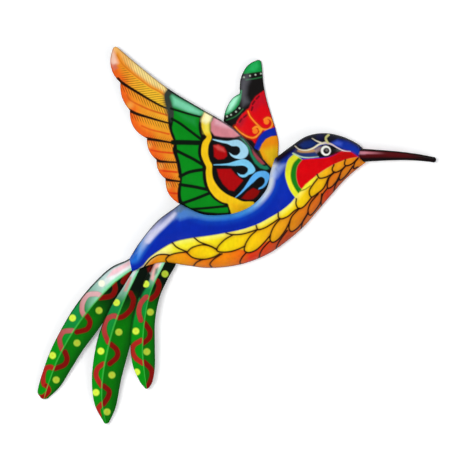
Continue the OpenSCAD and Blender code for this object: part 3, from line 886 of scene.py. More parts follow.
HEAD_STROKES = {
    "ear_edge": ([
        (293, 153.6), (300, 156.9), (308, 158), (318, 157.2),
    ], (190, 218, 190), 1.4, 0.45, 1.0, (1.2, 0.4)),
    "ear_light": ([(298, 151.2), (306, 152), (313, 150)], TAN, 1.6, 0.9, 0.8),
    "brow_back": (BROW_LINE[:6], CREAM, 1.6, 0.45, 1.0, (0.5, 1.4)),
    "brow_front": (BROW_LINE[5:], (226, 206, 206), 1.5, 0.45, 1.0, (1.4, 0.4)),
    "crown_line": ([(312, 138.4), (316, 141), (321, 143.2)], CREAM, 1.5, 0.45, 1.0, (0.35, 1.2)),
    "crown_curl": ([(328.6, 134.8), (326, 137.5), (325.9, 140.2), (327.4, 143)], (220, 216, 140), 2.2),
}
# Painted highlight by the eye's corner
EYE_CORNER_HIGHLIGHT = ([
    (314, 150), (318, 147.6), (321, 147), (319.6, 151), (316, 153.4),
], (172, 146, 154), 1.4, 0.7)
# Dots: centre, radius, colour and soft edge
CROWN_DOT = ((320, 137), 3.4, (12, 12, 66), 2.0)
EYE_DOTS = [
    ((325.4, 151.0), 5.0, (248, 248, 240), 0.6),
    ((326.0, 151.2), 3.1, (26, 22, 22), 0.6),
    ((326.3, 150.6), 1.3, (112, 108, 106), 0.8),
]


def upper_edge(first, last):
    """Photograph's line of the body's upper edge, from station to station."""
    return flip(top_edge(np.linspace(first, last, UPPER_EDGE_POINTS)))


def paint_body(p):
    bottom = flip(spline(BODY_BOTTOM, np.linspace(0, BODY_LAST, BOTTOM_POINTS)))
    belly_line = curve(BELLY_LINE)
    to_scoop = p.to(upper_edge(SCOOP_START, SCOOP_END))
    to_back = p.to(upper_edge(BACK_START, SCOOP_START))
    to_nape = p.to(upper_edge(NAPE_START, BODY_LAST))
    p.blend(0.6 * fade(2, 26, p.to(belly_line)), DEEP_BLUE)
    # Painted highlight along the scoop's rim: a mid-blue falloff, then a pale wash that runs from column to
    # column
    p.blend(0.6 * fade(4, 13, to_scoop), SCOOP_HIGHLIGHT_BLUE)
    p.wash(0.95 * fade(1.5, 7.5, to_scoop) * ramp(*SCOOP_HIGHLIGHT_ROWS, p.y), SCOOP_HIGHLIGHT)
    # Painted highlight on the nape
    p.fill(*NAPE_HIGHLIGHT)
    # Painted highlight along the back's upper edge: sky blue, then a pale wash
    p.blend(0.75 * fade(5, 13, to_back) * fade(*BACK_SKY_HIGHLIGHT_END, p.x), SKY_BLUE)
    p.wash(0.9 * fade(4, 10, to_back) * fade(*BACK_HIGHLIGHT_END, p.x), BACK_HIGHLIGHT)
    # Painted shade and painted highlight along the rump
    p.strokes(RUMP_SHADE_AND_HIGHLIGHT)
    # Painted highlight, light blue and grey, at the scoop's corner
    p.patches(SCOOP_CORNER_HIGHLIGHT)
    p.blend(fade(3, 10, to_nape) * ramp(*NAPE_COLUMNS, p.x), NAVY)
    paint_head(p)
    paint_belly(p, belly_line, bottom)
    p.fill(*SNOUT_PATCH)
    # Painted highlight on the seam between snout and beak
    p.stroke(*SNOUT_HIGHLIGHT)
    p.blend(0.95 * fade(0.5, 1.4, np.minimum(to_back, to_nape)) * fade(*RIM_END, p.x), BLACK)
    lower_edge = ramp(*LOWER_EDGE_START, p.x) * fade(*LOWER_EDGE_END, p.x)
    p.blend(0.5 * fade(0.2, 1.6, p.to(bottom)) * lower_edge, BROWN)


def paint_belly(p, belly_line, bottom):
    """Three rows of scales, whose colours run from column to column, and the scales' outlines."""
    loop = np.concatenate([belly_line, CHIN, bottom[::-1] + OVER_RIM])
    i = p.near(loop, 3)
    x, y = p.x[i], p.y[i]
    fill = tones(x, UPPER_ROW)
    for row, foot in ((MIDDLE_ROW, UPPER_FOOT), (LOWER_ROW, MIDDLE_FOOT)):
        below = ramp(-0.8, 0.8, y - np.interp(x, *zip(*foot)))
        fill = mix(fill, tones(x, row), below[:, None])
    # Painted highlight along the belly's upper line
    top_highlight = 0.65 * fade(0.5, 6, distance(x, y, belly_line)) * fade(*BELLY_HIGHLIGHT_END, x)
    fill = mix(fill, linear(BELLY_HIGHLIGHT), top_highlight[:, None])
    mask = ramp(-0.5, 0.5, depth_in(x, y, loop))
    p.part(i, mask, fill, thick=0.5)
    # Painted highlights at the throat and at the belly's tail end
    p.patches(BELLY_END_HIGHLIGHTS)
    p.stroke(*THROAT_SHADE)
    p.stroke(belly_line, BELLY_EDGE, 1.0, soft=0.5, amount=0.55 * fade(*BELLY_EDGE_END, p.x), smooth=False)
    outlines = UPPER_SCALES + MIDDLE_SCALES + LOWER_SCALES
    shade = np.zeros(len(p.x))
    shade[i] = 0.25 * mask
    for line in outlines:
        p.stroke(line, RUST, SCALE_SHADE_W, soft=2.2, amount=shade, thick=0.5)
    for line in outlines:
        p.stroke(line, SCALE_LINE, SCALE_LINE_W)


def paint_head(p):
    crown = upper_edge(CROWN_START, BODY_LAST)
    p.fill(np.concatenate([crown, BROW_END, curve(BROW_LINE)[::-1]]), NAVY, soft=1.0)
    p.patches(HEAD_PATCHES)
    p.dot(*CROWN_DOT)
    p.fill(between(COLLAR_OUTER, COLLAR_INNER), COLLAR_YELLOW, soft=0.6)
    p.fill(between(COLLAR_MIDDLE, COLLAR_INNER), COLLAR_GREEN, soft=0.7)
    p.fill(np.concatenate([curve(CHEEK_TOP), THROAT_LINE, curve(COLLAR_INNER)[::-1]]), RED, soft=0.6)
    p.fill(*CHEEK_SHADE)
    p.strokes(HEAD_STROKES)
    # Painted highlight by the eye's corner
    p.fill(*EYE_CORNER_HIGHLIGHT)
    for dot in EYE_DOTS:
        p.dot(*dot)


def build_body():
    back_step, steps_per_station, arc_steps = 6, 30, 150
    stations = np.linspace(0, BODY_LAST, BODY_LAST * steps_per_station + 1)
    wall = np.array([0.33, 0.66, 1])
    angles = np.concatenate([-wall[::-1], np.linspace(0, 180, arc_steps + 1), 180 + wall])
    front = shell_grid(stations, angles, side=0.0)
    back = shell_grid(stations[::back_step], angles[::back_step], side=1.0)
    points, faces, count = closed_grid(front, back, back_step)
    p = Paint(front.reshape(-1, 3), BLUE)
    paint_body(p)
    add_piece("painted_body_shell", "body_shell", points, faces, count, p)


# Near wing

NEAR_STEP = 0.6
NEAR_END = np.array([[113.5, 422.7], [115.5, 423.6], [117.8, 422.8]])
NEAR_NOTCHES = np.array([
    [112.5, 420.5], [120.5, 387], [130, 359.5], [147, 331.5], [156.5, 310], [165.5, 291], [181, 265.5],
])
NEAR_BULGES = [5.6, 3.2, 5.6, 3, 2.8, 5]
NEAR_ROOT = np.array([
    [187, 257], [198, 249], [213, 246], [229, 247], [244, 252], [258, 261], [269, 274], [276, 287],
])


def lobe(a, b, bulge, n=8):
    """Bulging edge of one feather, from notch to notch."""
    side = unit([-(b - a)[1], (b - a)[0]])
    k = np.arange(n)[:, None] / n
    return a + (b - a) * k + side * bulge * 4 * k * (1 - k)


def near_outline():
    parts = [NEAR_END, curve(NEAR_LEADING, 4), NEAR_ROOT[::-1]]
    for i in reversed(range(len(NEAR_BULGES))):
        parts.append(lobe(NEAR_NOTCHES[i + 1], NEAR_NOTCHES[i], NEAR_BULGES[i]))
    parts.append(NEAR_NOTCHES[:1])
    return np.concatenate(parts)


# Paint of the near wing's six feathers, from the first down
FEATHER_ORANGE = (242, 148, 36)
FEATHER_RED = (236, 92, 26)
FEATHER_GOLD = (240, 176, 44)
# Pale of the first feather, which also serves as a painted highlight along the leading edge
FEATHER_PALE = (253, 224, 142)
FEATHER_LEMON = (246, 196, 50)
FEATHER_OCHRE = (216, 110, 22)
FEATHER_EDGE = (130, 62, 22)
LEADING_EDGE = (126, 66, 26)
GAP_BROWN = (30, 14, 6)
GAP_W = 2.2
FEATHER_GAPS = [
    [(118, 79), (121, 82), (130, 88), (140, 94), (150, 100), (160, 105.5), (168, 109)],
    [(129, 110.3), (137, 114), (145, 116.5), (155, 119.5), (169, 123.4)],
    [(146, 138.6), (155, 140), (165, 141.7), (175, 143.4)],
    [(155, 159.2), (160, 161.3), (167, 162), (177, 162.5)],
    [(164, 178.8), (170, 180.3), (181, 181.6)],
]
FEATHER_QUILLS = [
    ((222, 116, 34), 1.3, [
        (117, 55), (122, 63.5), (127, 68.5), (133, 74), (140, 79.5), (150, 87), (158, 91), (164, 95),
    ]),
    ((214, 88, 24), 1.7, [(127, 95), (130, 100), (135, 103), (140, 105.5), (150, 110), (167, 115.3)]),
    ((220, 80, 22), 1.7, [(142, 126), (150, 129.5), (160, 132), (169, 134.2)]),
    ((216, 56, 16), 1.9, [(149, 149.5), (155, 151), (163, 152.3), (173, 153.2)]),
    ((216, 46, 16), 1.9, [(160, 170.3), (166, 171.2), (177, 172.2)]),
    ((216, 46, 16), 1.9, [(169, 192.5), (173, 193.3), (178, 193.6)]),
]
FIRST_QUILL = FEATHER_QUILLS[0][2]
FEATHER_DABS = [(130, 105.5), (149, 145), (160.5, 166), (168, 185.5)]
DAB_GOLD = (238, 186, 84)
DAB_R = 3.0
# Painted highlight on the wing tip's left edge, and painted shade below it
TIP_HIGHLIGHT_AND_SHADE = {
    "glow": ([
        (110, 62), (111, 52), (113.5, 50), (116, 57), (118, 63), (113, 66),
    ], (246, 208, 190), 2.6, 0.85),
    "shade": ([(111.5, 65), (116, 64.5), (118, 68), (113.5, 71)], (208, 112, 92), 1.6, 0.8),
}
BARB_PITCH = 2.3
# Columns or rows between which paint comes in or goes out
PALE_COLUMNS = (122, 140)
LEMON_COLUMNS = (120, 150)
STANDING_BARBS = (138, 156)
FIRST_BARBS = (119, 126)
GOLD_END_ROWS = (118, 140)
OCHRE_ROWS = (122, 142)
BLACK_LEAD = (164, 168)

# Paint of the near wing's inner field: green cells, wave band, red cells and hook scrolls
BLACK_EDGE = [
    (169, 88), (165, 93), (164.5, 98), (166, 105), (168, 112), (168, 120), (169, 128), (171, 135),
    (174, 143), (172.5, 150), (175, 158), (177, 165), (178, 172), (180, 181), (178, 188), (177.5, 196),
    (179, 206),
]
FIELD_ROUND = [(190, 96), (240, 125), (270, 150), (280, 160), (285, 240), (170, 240), (179, 207)]
# Painted sheen, grey, on the black by the shoulder
SHOULDER_SHEEN = ([
    (163, 94), (169, 87), (175, 92), (174, 104), (175, 116), (171, 122), (166, 113), (164, 103),
], (58, 66, 58), 2.4, 0.8)
GREEN_LEFT = [
    (170, 95.5), (173, 103), (174, 112), (173.6, 120), (172.3, 129), (175, 137), (177, 145), (177.5, 153),
    (180, 162), (181.5, 170), (182.3, 178), (181.3, 187), (181, 195), (183, 202), (190, 207.5),
    (203, 211.5), (218, 213),
]
GREEN_RIGHT = [
    (206, 111), (200, 117.5), (198.5, 126), (199.3, 133), (201, 139), (198.6, 146), (198, 153),
    (199.3, 159), (202, 165), (202.5, 172), (203, 180), (205, 187), (208.5, 193), (214, 199.5),
    (221, 203.8), (227, 206.5), (228.5, 212.5),
]
# Painted highlights on the top green cells along the leading edge
GREEN_HIGHLIGHTS = {
    "first_cell": ([
        (170, 97), (172, 94), (204, 111.5), (200, 116), (190, 112.6), (173, 107),
    ], (64, 160, 106), 1.6),
    "first_glow": ([
        (172, 96), (190, 105), (202, 112), (199, 114.4), (188, 111.4), (174, 105),
    ], MINT, 2.4, 0.75),
    "second_glow": ([(176, 112), (196, 118), (196, 126), (184, 120)], (34, 152, 70), 3.0, 0.6),
}
DIVIDER_GREEN = (4, 20, 6)
GREEN_DIVIDERS = [
    (2.2, [(171, 108.6), (190, 114.3), (203, 117.5)]),
    (2.8, [(172, 119), (180, 123.5), (190, 131), (202, 140)]),
    (5.0, [(173, 142.5), (186, 142.6), (203, 143)]),
    (3.2, [(176, 150.5), (185, 155), (193, 159), (203, 165)]),
    (3.4, [(180, 176.5), (190, 172), (204, 169.5)]),
    (3.4, [(180, 184.6), (195, 187), (207, 189.6)]),
    (3.2, [(181, 203.8), (195, 199), (210, 193)]),
    (2.6, [(188, 209.5), (205, 208.2), (228, 206)]),
]
BAND_LEFT = [
    (205, 111), (201.8, 119), (202, 128), (204.6, 134), (206.6, 137.3), (203, 142), (201.5, 148),
    (201.5, 155), (203.5, 161), (206.3, 167), (206, 172), (206.5, 179), (208, 186), (211, 192),
    (216, 198), (222, 202), (227.5, 203.6), (229, 207), (231.5, 214),
]
BAND_RIGHT = [
    (213, 115.5), (209.2, 122), (209, 130), (211.6, 137.3), (208.7, 145), (208, 153), (209.5, 160),
    (212, 165), (212, 172), (213, 178), (216, 184), (221, 190), (228, 195), (235, 198), (243, 201.5),
    (254, 202.5), (250, 212), (240, 218),
]
BAND_YELLOW = (244, 196, 22)
# Painted highlights on the band's top and middle near the leading edge, and deeper amber paint at its foot
BAND_HIGHLIGHTS_AND_FOOT = {
    "middle": ([(202, 119), (210, 120), (209.5, 133), (204, 133)], (244, 232, 86), 3.0, 0.8),
    "top": ([
        (205, 111), (213, 115), (210.5, 121), (206, 123.5), (201.6, 121),
    ], (254, 252, 200), 2.6, 0.9),
    "foot": ([(231, 203.5), (238, 204.5), (247, 206), (241, 214), (234, 212)], (240, 174, 12), 2.5, 0.8),
}
CELLS = {
    # Red cell painted pink as a painted highlight near the leading edge, then a paler painted highlight
    "pink": ([
        (214, 117.5), (221, 120), (229, 125), (235, 130), (240, 135.6), (234, 137.4), (222, 137),
        (214.5, 135.6), (211, 131), (211, 123),
    ], (216, 132, 142), 1.0),
    "pink_glow": ([
        (215, 118.6), (224, 122.6), (231, 128), (225, 127), (215, 124),
    ], (240, 190, 204), 3.0, 0.7),
    "high_red": ([
        (213.5, 145.2), (218.5, 144.5), (224, 147), (226.6, 151.6), (227, 156), (224, 158.8),
        (218, 159.6), (214.2, 156.6),
    ], (172, 6, 10), 0.9),
    "middle_red": ([
        (217, 169.2), (231, 169), (235, 174), (239, 177.6), (243, 180.5), (238, 186.5), (234, 191),
        (229, 190), (223, 184), (219, 177),
    ], (172, 6, 10), 0.9),
    "low_red": ([
        (241.5, 198.3), (247, 192), (253, 188), (260, 191), (257, 196), (253, 199), (247, 199.8),
    ], (144, 6, 4), 0.9),
    "red_glow": ([
        (214, 146), (218, 145.4), (223.5, 148.4), (225, 152), (218, 150),
    ], (232, 96, 90), 1.6, 0.6),
    "sliver": ([
        (252, 149.5), (257, 153), (261, 158), (265, 164), (262, 164.6), (257.5, 160.5), (253.5, 155),
    ], (158, 62, 74), 0.8),
    "teal": ([
        (240, 137.4), (245, 143), (248.5, 150), (251, 156.5), (255, 163.5), (260, 168), (266, 169.8),
        (271, 168), (270, 165.4), (264, 166), (258, 161.6), (253, 155), (249, 146), (244, 139),
    ], (26, 126, 88), 0.9),
}
# Hook scrolls: colour, outer curve from the thin end round the hook, and inner curve back
SCROLLS = [
    ((164, 216, 238), [
        (212.5, 139), (220.5, 140.3), (227.5, 141), (234.5, 139.9), (239, 140), (243.2, 142.8),
        (246.8, 146.6), (248.4, 151), (247.6, 155), (244.6, 158), (240.2, 159), (234.6, 158),
        (231, 155.6), (229.3, 152.6),
    ], [
        (233, 155.2), (236.6, 155.4), (239.6, 153), (240.3, 150.4), (239.4, 147.8), (236.6, 146),
        (232, 146), (227.4, 143.9), (220.4, 142.3), (212.8, 139.9),
    ]),
    ((124, 204, 240), [
        (213.5, 164.6), (222, 164.1), (229, 163.1), (237, 160.6), (243, 159.2), (248.5, 160.9),
        (252.8, 165), (255.2, 169.8), (253.3, 173), (248.8, 174.8), (246, 176.8), (242.6, 177.4),
        (239.2, 175.8), (237.2, 172.8),
    ], [
        (240.4, 174.7), (244.2, 174.6), (247.2, 172.2), (248, 169), (246, 166.7), (241.6, 165.5),
        (234, 165.9), (226, 165.5), (213.8, 165.3),
    ]),
    ((94, 178, 240), [
        (235.2, 197.4), (240.4, 192.3), (244.6, 187.1), (248, 181.8), (251, 177.3), (255.4, 172.8),
        (260.3, 171.2), (265.3, 171.2), (269, 173.8), (269.6, 177.6), (268, 181.4), (266, 185.2),
        (263, 188), (258.4, 189.6),
    ], [
        (258.6, 188.2), (262.2, 186), (264.6, 182.6), (264.5, 179), (261.7, 176.8), (258.4, 177.8),
        (254.4, 181.4), (250.2, 185.2), (246, 189.2), (241, 193.8), (235.8, 197.8),
    ]),
]


def paint_barbs(p):
    """Combs of fine barbs below and above the gaps, and on both sides of the first feather's quill."""
    quill, above = side_of(p.x, p.y, curve(FIRST_QUILL))
    _, over_gap = side_of(p.x, p.y, curve(FEATHER_GAPS[0]))
    upper = over_gap & above
    lower = over_gap & ~above
    # Pale paint above the first quill, which is also a painted highlight along the leading edge
    p.blend(upper * ramp(0.5, 5, quill) * (0.4 + 0.6 * ramp(*PALE_COLUMNS, p.x)), FEATHER_PALE)
    p.blend(0.8 * lower * ramp(*LEMON_COLUMNS, p.x), FEATHER_LEMON)
    below = np.full(len(p.x), FAR_AWAY)
    above_next = np.full(len(p.x), FAR_AWAY)
    for line in FEATHER_GAPS:
        d, over = side_of(p.x, p.y, curve(line))
        below = np.minimum(below, np.where(over, FAR_AWAY, d))
        above_next = np.minimum(above_next, np.where(over, d, FAR_AWAY))
    hangs = below < 1.6 * above_next
    hanging = 0.8 * hangs * fade(4.5, 8, below) * ramp(0.8, 1.6, below)
    standing = 0.5 * ~hangs * fade(2.5, 5, above_next) * ramp(0.8, 1.6, above_next)
    standing *= ramp(*STANDING_BARBS, p.x)
    slant = np.where(hangs, p.x - 0.4 * p.y, p.x + 0.6 * p.y)
    sweep = np.where(lower, p.y + 0.12 * p.x, np.where(over_gap, p.x - 0.3 * p.y, slant))
    p.barb = 2 * np.pi * sweep / BARB_PITCH
    first_comb = np.where(upper, 0.4, 0.7) * ramp(0.8, 2.5, quill) * ramp(*FIRST_BARBS, p.x)
    p.barb_amount = np.where(over_gap, first_comb, np.maximum(hanging, standing))


def paint_feathers(p, to_black, to_outer, to_lead):
    """Orange feathers with combs of barbs, quills and dark gaps."""
    p.blend(0.5 * ramp(*OCHRE_ROWS, p.y), FEATHER_OCHRE)
    gold = 0.8 - 0.6 * ramp(*GOLD_END_ROWS, p.y)
    p.blend(gold * fade(2, 30, to_black) * ramp(2, 14, to_outer), FEATHER_GOLD)
    p.blend(0.9 * fade(2, 13, to_outer) * ramp(6, 18, to_lead), FEATHER_RED)
    paint_barbs(p)
    # Painted highlight and painted shade at the wing tip
    p.patches(TIP_HIGHLIGHT_AND_SHADE)
    for colour, width, line in FEATHER_QUILLS:
        p.stroke(line, colour, width, soft=0.6, amount=0.9, taper=(0.8, 1.1))
    for centre in FEATHER_DABS:
        p.dot(centre, DAB_R, DAB_GOLD, soft=3.0, amount=0.6)
    for line in FEATHER_GAPS:
        p.stroke(line, GAP_BROWN, GAP_W, taper=(1.5, 0.85))
    p.blend(0.45 * fade(0.2, 1.3, to_outer), FEATHER_EDGE)


def paint_near_wing(p):
    to_lead = p.to(flip(curve(NEAR_LEADING, 4)))
    to_black = p.to(BLACK_EDGE)
    paint_feathers(p, to_black, p.to(flip(near_outline()), closed=True), to_lead)
    field = np.concatenate([curve(BLACK_EDGE)[::-1], FIELD_ROUND])
    p.fill(field, BLACK, soft=0.6)
    # Painted sheen on the black by the shoulder
    p.fill(*SHOULDER_SHEEN)
    p.fill(between(GREEN_LEFT, GREEN_RIGHT), GREEN, soft=0.6)
    # Painted highlights on the top green cells
    p.patches(GREEN_HIGHLIGHTS)
    for width, line in GREEN_DIVIDERS:
        p.stroke(line, DIVIDER_GREEN, width, soft=0.5)
    p.fill(between(BAND_LEFT, BAND_RIGHT), BAND_YELLOW)
    # Painted highlights on the band, and its amber foot
    p.patches(BAND_HIGHLIGHTS_AND_FOOT)
    # Cells of paint; the pink one is a red cell under painted highlight
    p.patches(CELLS)
    for colour, outer, back in SCROLLS:
        p.fill(np.concatenate([curve(outer), curve(back)]), colour, thick=0.9)
    p.barb_amount *= 1 - ramp(-0.5, 1.0, np.where(inside(p.x, p.y, field), to_black, -to_black))
    p.blend(0.9 * fade(1.0, 2.0, to_lead) * ramp(*BLACK_LEAD, p.x), BLACK)
    p.blend(0.6 * fade(0.4, 1.3, to_lead) * fade(*BLACK_LEAD, p.x), LEADING_EDGE)


def build_near_wing():
    points, faces, front, count = flat_sheet(near_outline(), NEAR_STEP, near_d)
    p = Paint(front, FEATHER_ORANGE)
    paint_near_wing(p)
    add_piece("painted_near_wing", "near_wing", points, faces, count, p)


# Far wing

FAR_STEP = 0.5
FAR_TIP = [258, 410.7]
FAR_RIGHT = [
    FAR_TIP, [261.3, 408.7], [262.6, 398], [263.8, 385], [267.2, 369], [272.2, 353], [276.2, 340],
    [278.8, 328], [278.3, 317], [278.5, 308], [276, 298],
]
FAR_ROOT = [[266, 291], [252, 300], [238, 318], [228, 337]]
FAR_LOW_LOBE = [[223.5, 350], [225, 358.5], [229, 367.5], [233.5, 373], [240, 377]]
FAR_HIGH_LOBE = [[239.7, 382], [240.5, 391], [245, 401.5], [251, 407.5], [257, 410.3]]
# Warm black, lifted a little as a faint painted sheen
FAR_BLACK = (19, 16, 16)
FAR_GREENS = {
    "tip": ([(238, 72.5), (246, 73.6), (254, 72), (266, 70.5), (266, 55), (240, 55)], (16, 150, 66), 0.8),
    # Painted highlight on the green tip
    "tip_glow": ([(247, 71), (251, 64.5), (257, 61.5), (259, 66), (255, 71)], (40, 186, 96), 2.5, 0.8),
    "lobe": ([
        (222, 116), (229, 113.5), (235, 109), (239, 104), (241, 98), (242, 90), (222, 92),
    ], (42, 160, 92), 0.9),
    # Painted highlight on the green lobe's left side
    "lobe_glow": ([
        (227, 112), (229, 103), (234, 97.5), (239, 96), (236, 103), (231, 110),
    ], (176, 250, 214), 2.2, 0.9),
}
FAR_LINES = {
    "tip": ([(246, 79.6), (254, 78.4), (263, 76.4)], LINE_GREEN, 1.1, 0.45, 0.9),
    "lobe": ([(226.5, 119.8), (234, 117), (239, 113.4), (243, 109)], LINE_GREEN, 1.1, 0.45, 0.9),
}
FAR_MIDDLE = {
    "sheen": ([
        (240.5, 82), (243, 75), (248, 73.5), (250, 79), (247, 86), (246, 95), (249, 102), (243, 106),
        (240.5, 96),
    ], (142, 142, 152), 3.6, 0.3),
    "red": ([
        (264, 90), (256, 96), (251.5, 102), (249, 108), (242, 114), (237, 121), (235, 126.5), (243, 133),
        (252, 140), (257, 146), (262, 138), (276, 128), (272, 112),
    ], (224, 6, 20), 0.7),
    "high_shade": ([
        (256, 97), (264, 92), (268, 106), (262, 104), (254, 112), (250, 108),
    ], (170, 20, 44), 3.0, 0.55),
    "low_shade": ([(236, 125), (240, 118), (247, 113), (246, 120), (241, 127)], (160, 20, 44), 2.6, 0.6),
}
PEARLS = [
    (244, 77), (250, 75.5), (255.5, 74.5), (261, 73.2), (227, 116), (231, 114.5), (236, 111.5),
    (239.5, 108),
]
PEARL_GREY = (190, 208, 186)
PEARL_R = 0.8
DASHES = [
    [(259, 96), (256.5, 98.5)], [(254.5, 101), (252.5, 104)], [(252.5, 107), (251.5, 110)],
    [(247, 114.5), (244, 117)], [(241.5, 119), (239.5, 122)],
]
DASH_RED = (74, 6, 18)
DASH_W = 1.9
# Orange scrolls: the stroke and the dot at its end
ORANGE_SCROLLS = [
    ([
        (248, 111), (250, 116), (254, 121), (258, 125), (262, 128.5), (267, 129.3), (271, 127),
        (272.7, 122.6), (271, 119), (267.5, 117.6), (264.6, 119.4),
    ], (266.6, 121.4)),
    ([
        (235, 126.5), (238, 130), (243, 134), (249, 137), (254, 137.5), (258, 135), (260.5, 131.5),
        (260, 128), (256.5, 126.6), (253.4, 128.6),
    ], (255.3, 130.9)),
]
SCROLL_SHADE = (206, 40, 12)
SCROLL_ORANGE = (250, 146, 40)
SCROLL_DOT = (250, 128, 34)
SCROLL_SHADE_W = 4.6
SCROLL_W = 2.0
SCROLL_DOT_R = 2.7
SCROLL_JOIN = ([(258, 126.6), (263, 129.4), (261, 132.4), (258.8, 130)], (250, 166, 32), 0.8)
FAR_BLUE = (10, 40, 168)
BLUE_TOP = [(276, 126.5), (268, 129.2), (262.4, 132.4), (258, 138.4), (254.5, 147), (259, 150.5)]
BLUE_FOOT = [(262, 143.4), (266, 138.6), (271, 136), (278, 134.4)]
BLUE_EDGE = ([(263, 131.6), (258.4, 137), (254.6, 145.5)], (74, 14, 40), 1.4, 0.6, 0.75)
FAR_YELLOWS = {
    "amber": ([
        (279, 135), (271, 136.2), (266, 138.8), (262, 143.8), (259.6, 150), (264, 160), (272, 172),
        (282, 168),
    ], (246, 146, 16), 0.6),
    "glow": ([(262, 150), (272, 147), (279, 147), (280, 165), (270, 168)], (248, 206, 30), 5.0, 0.85),
}
FAR_EDGE_ROW = 128
FAR_EDGE_HIGH = (20, 26, 22)
FAR_EDGE_LOW = (150, 70, 20)


def far_outline():
    return np.concatenate([curve(FAR_RIGHT, 4), FAR_ROOT, curve(FAR_LOW_LOBE, 4), curve(FAR_HIGH_LOBE, 4)])


def paint_far_wing(p):
    # Greens of the tip and lobe, with painted highlights
    p.patches(FAR_GREENS)
    p.strokes(FAR_LINES)
    p.patches(FAR_MIDDLE)
    for centre in PEARLS:
        p.dot(centre, PEARL_R, PEARL_GREY, soft=0.6)
    for line in DASHES:
        p.stroke(line, DASH_RED, DASH_W, soft=0.7, amount=0.85)
    for line, _ in ORANGE_SCROLLS:
        p.stroke(line, SCROLL_SHADE, SCROLL_SHADE_W, soft=0.9, amount=0.6)
    for line, end in ORANGE_SCROLLS:
        p.stroke(line, SCROLL_ORANGE, SCROLL_W, soft=0.5, taper=(0.6, 1.15))
        p.dot(end, SCROLL_DOT_R, SCROLL_DOT, soft=0.6)
    p.fill(*SCROLL_JOIN)
    p.fill(np.concatenate([curve(BLUE_TOP), BLUE_FOOT]), FAR_BLUE, soft=0.6)
    p.stroke(*BLUE_EDGE)
    p.patches(FAR_YELLOWS)
    to_outer = p.to(flip(far_outline()), closed=True)
    p.blend(0.8 * fade(0.3, 1.2, to_outer) * (p.y < FAR_EDGE_ROW), FAR_EDGE_HIGH)
    p.blend(0.6 * fade(0.2, 1.1, to_outer) * (p.y >= FAR_EDGE_ROW), FAR_EDGE_LOW)


def build_far_wing():
    points, faces, front, count = flat_sheet(far_outline(), FAR_STEP, far_d)
    p = Paint(front, FAR_BLACK)
    paint_far_wing(p)
    add_piece("painted_far_wing", "far_wing", points, faces, count, p)


# Tail feathers: right edge, ridge and left edge at stations from root to tip, and their paint

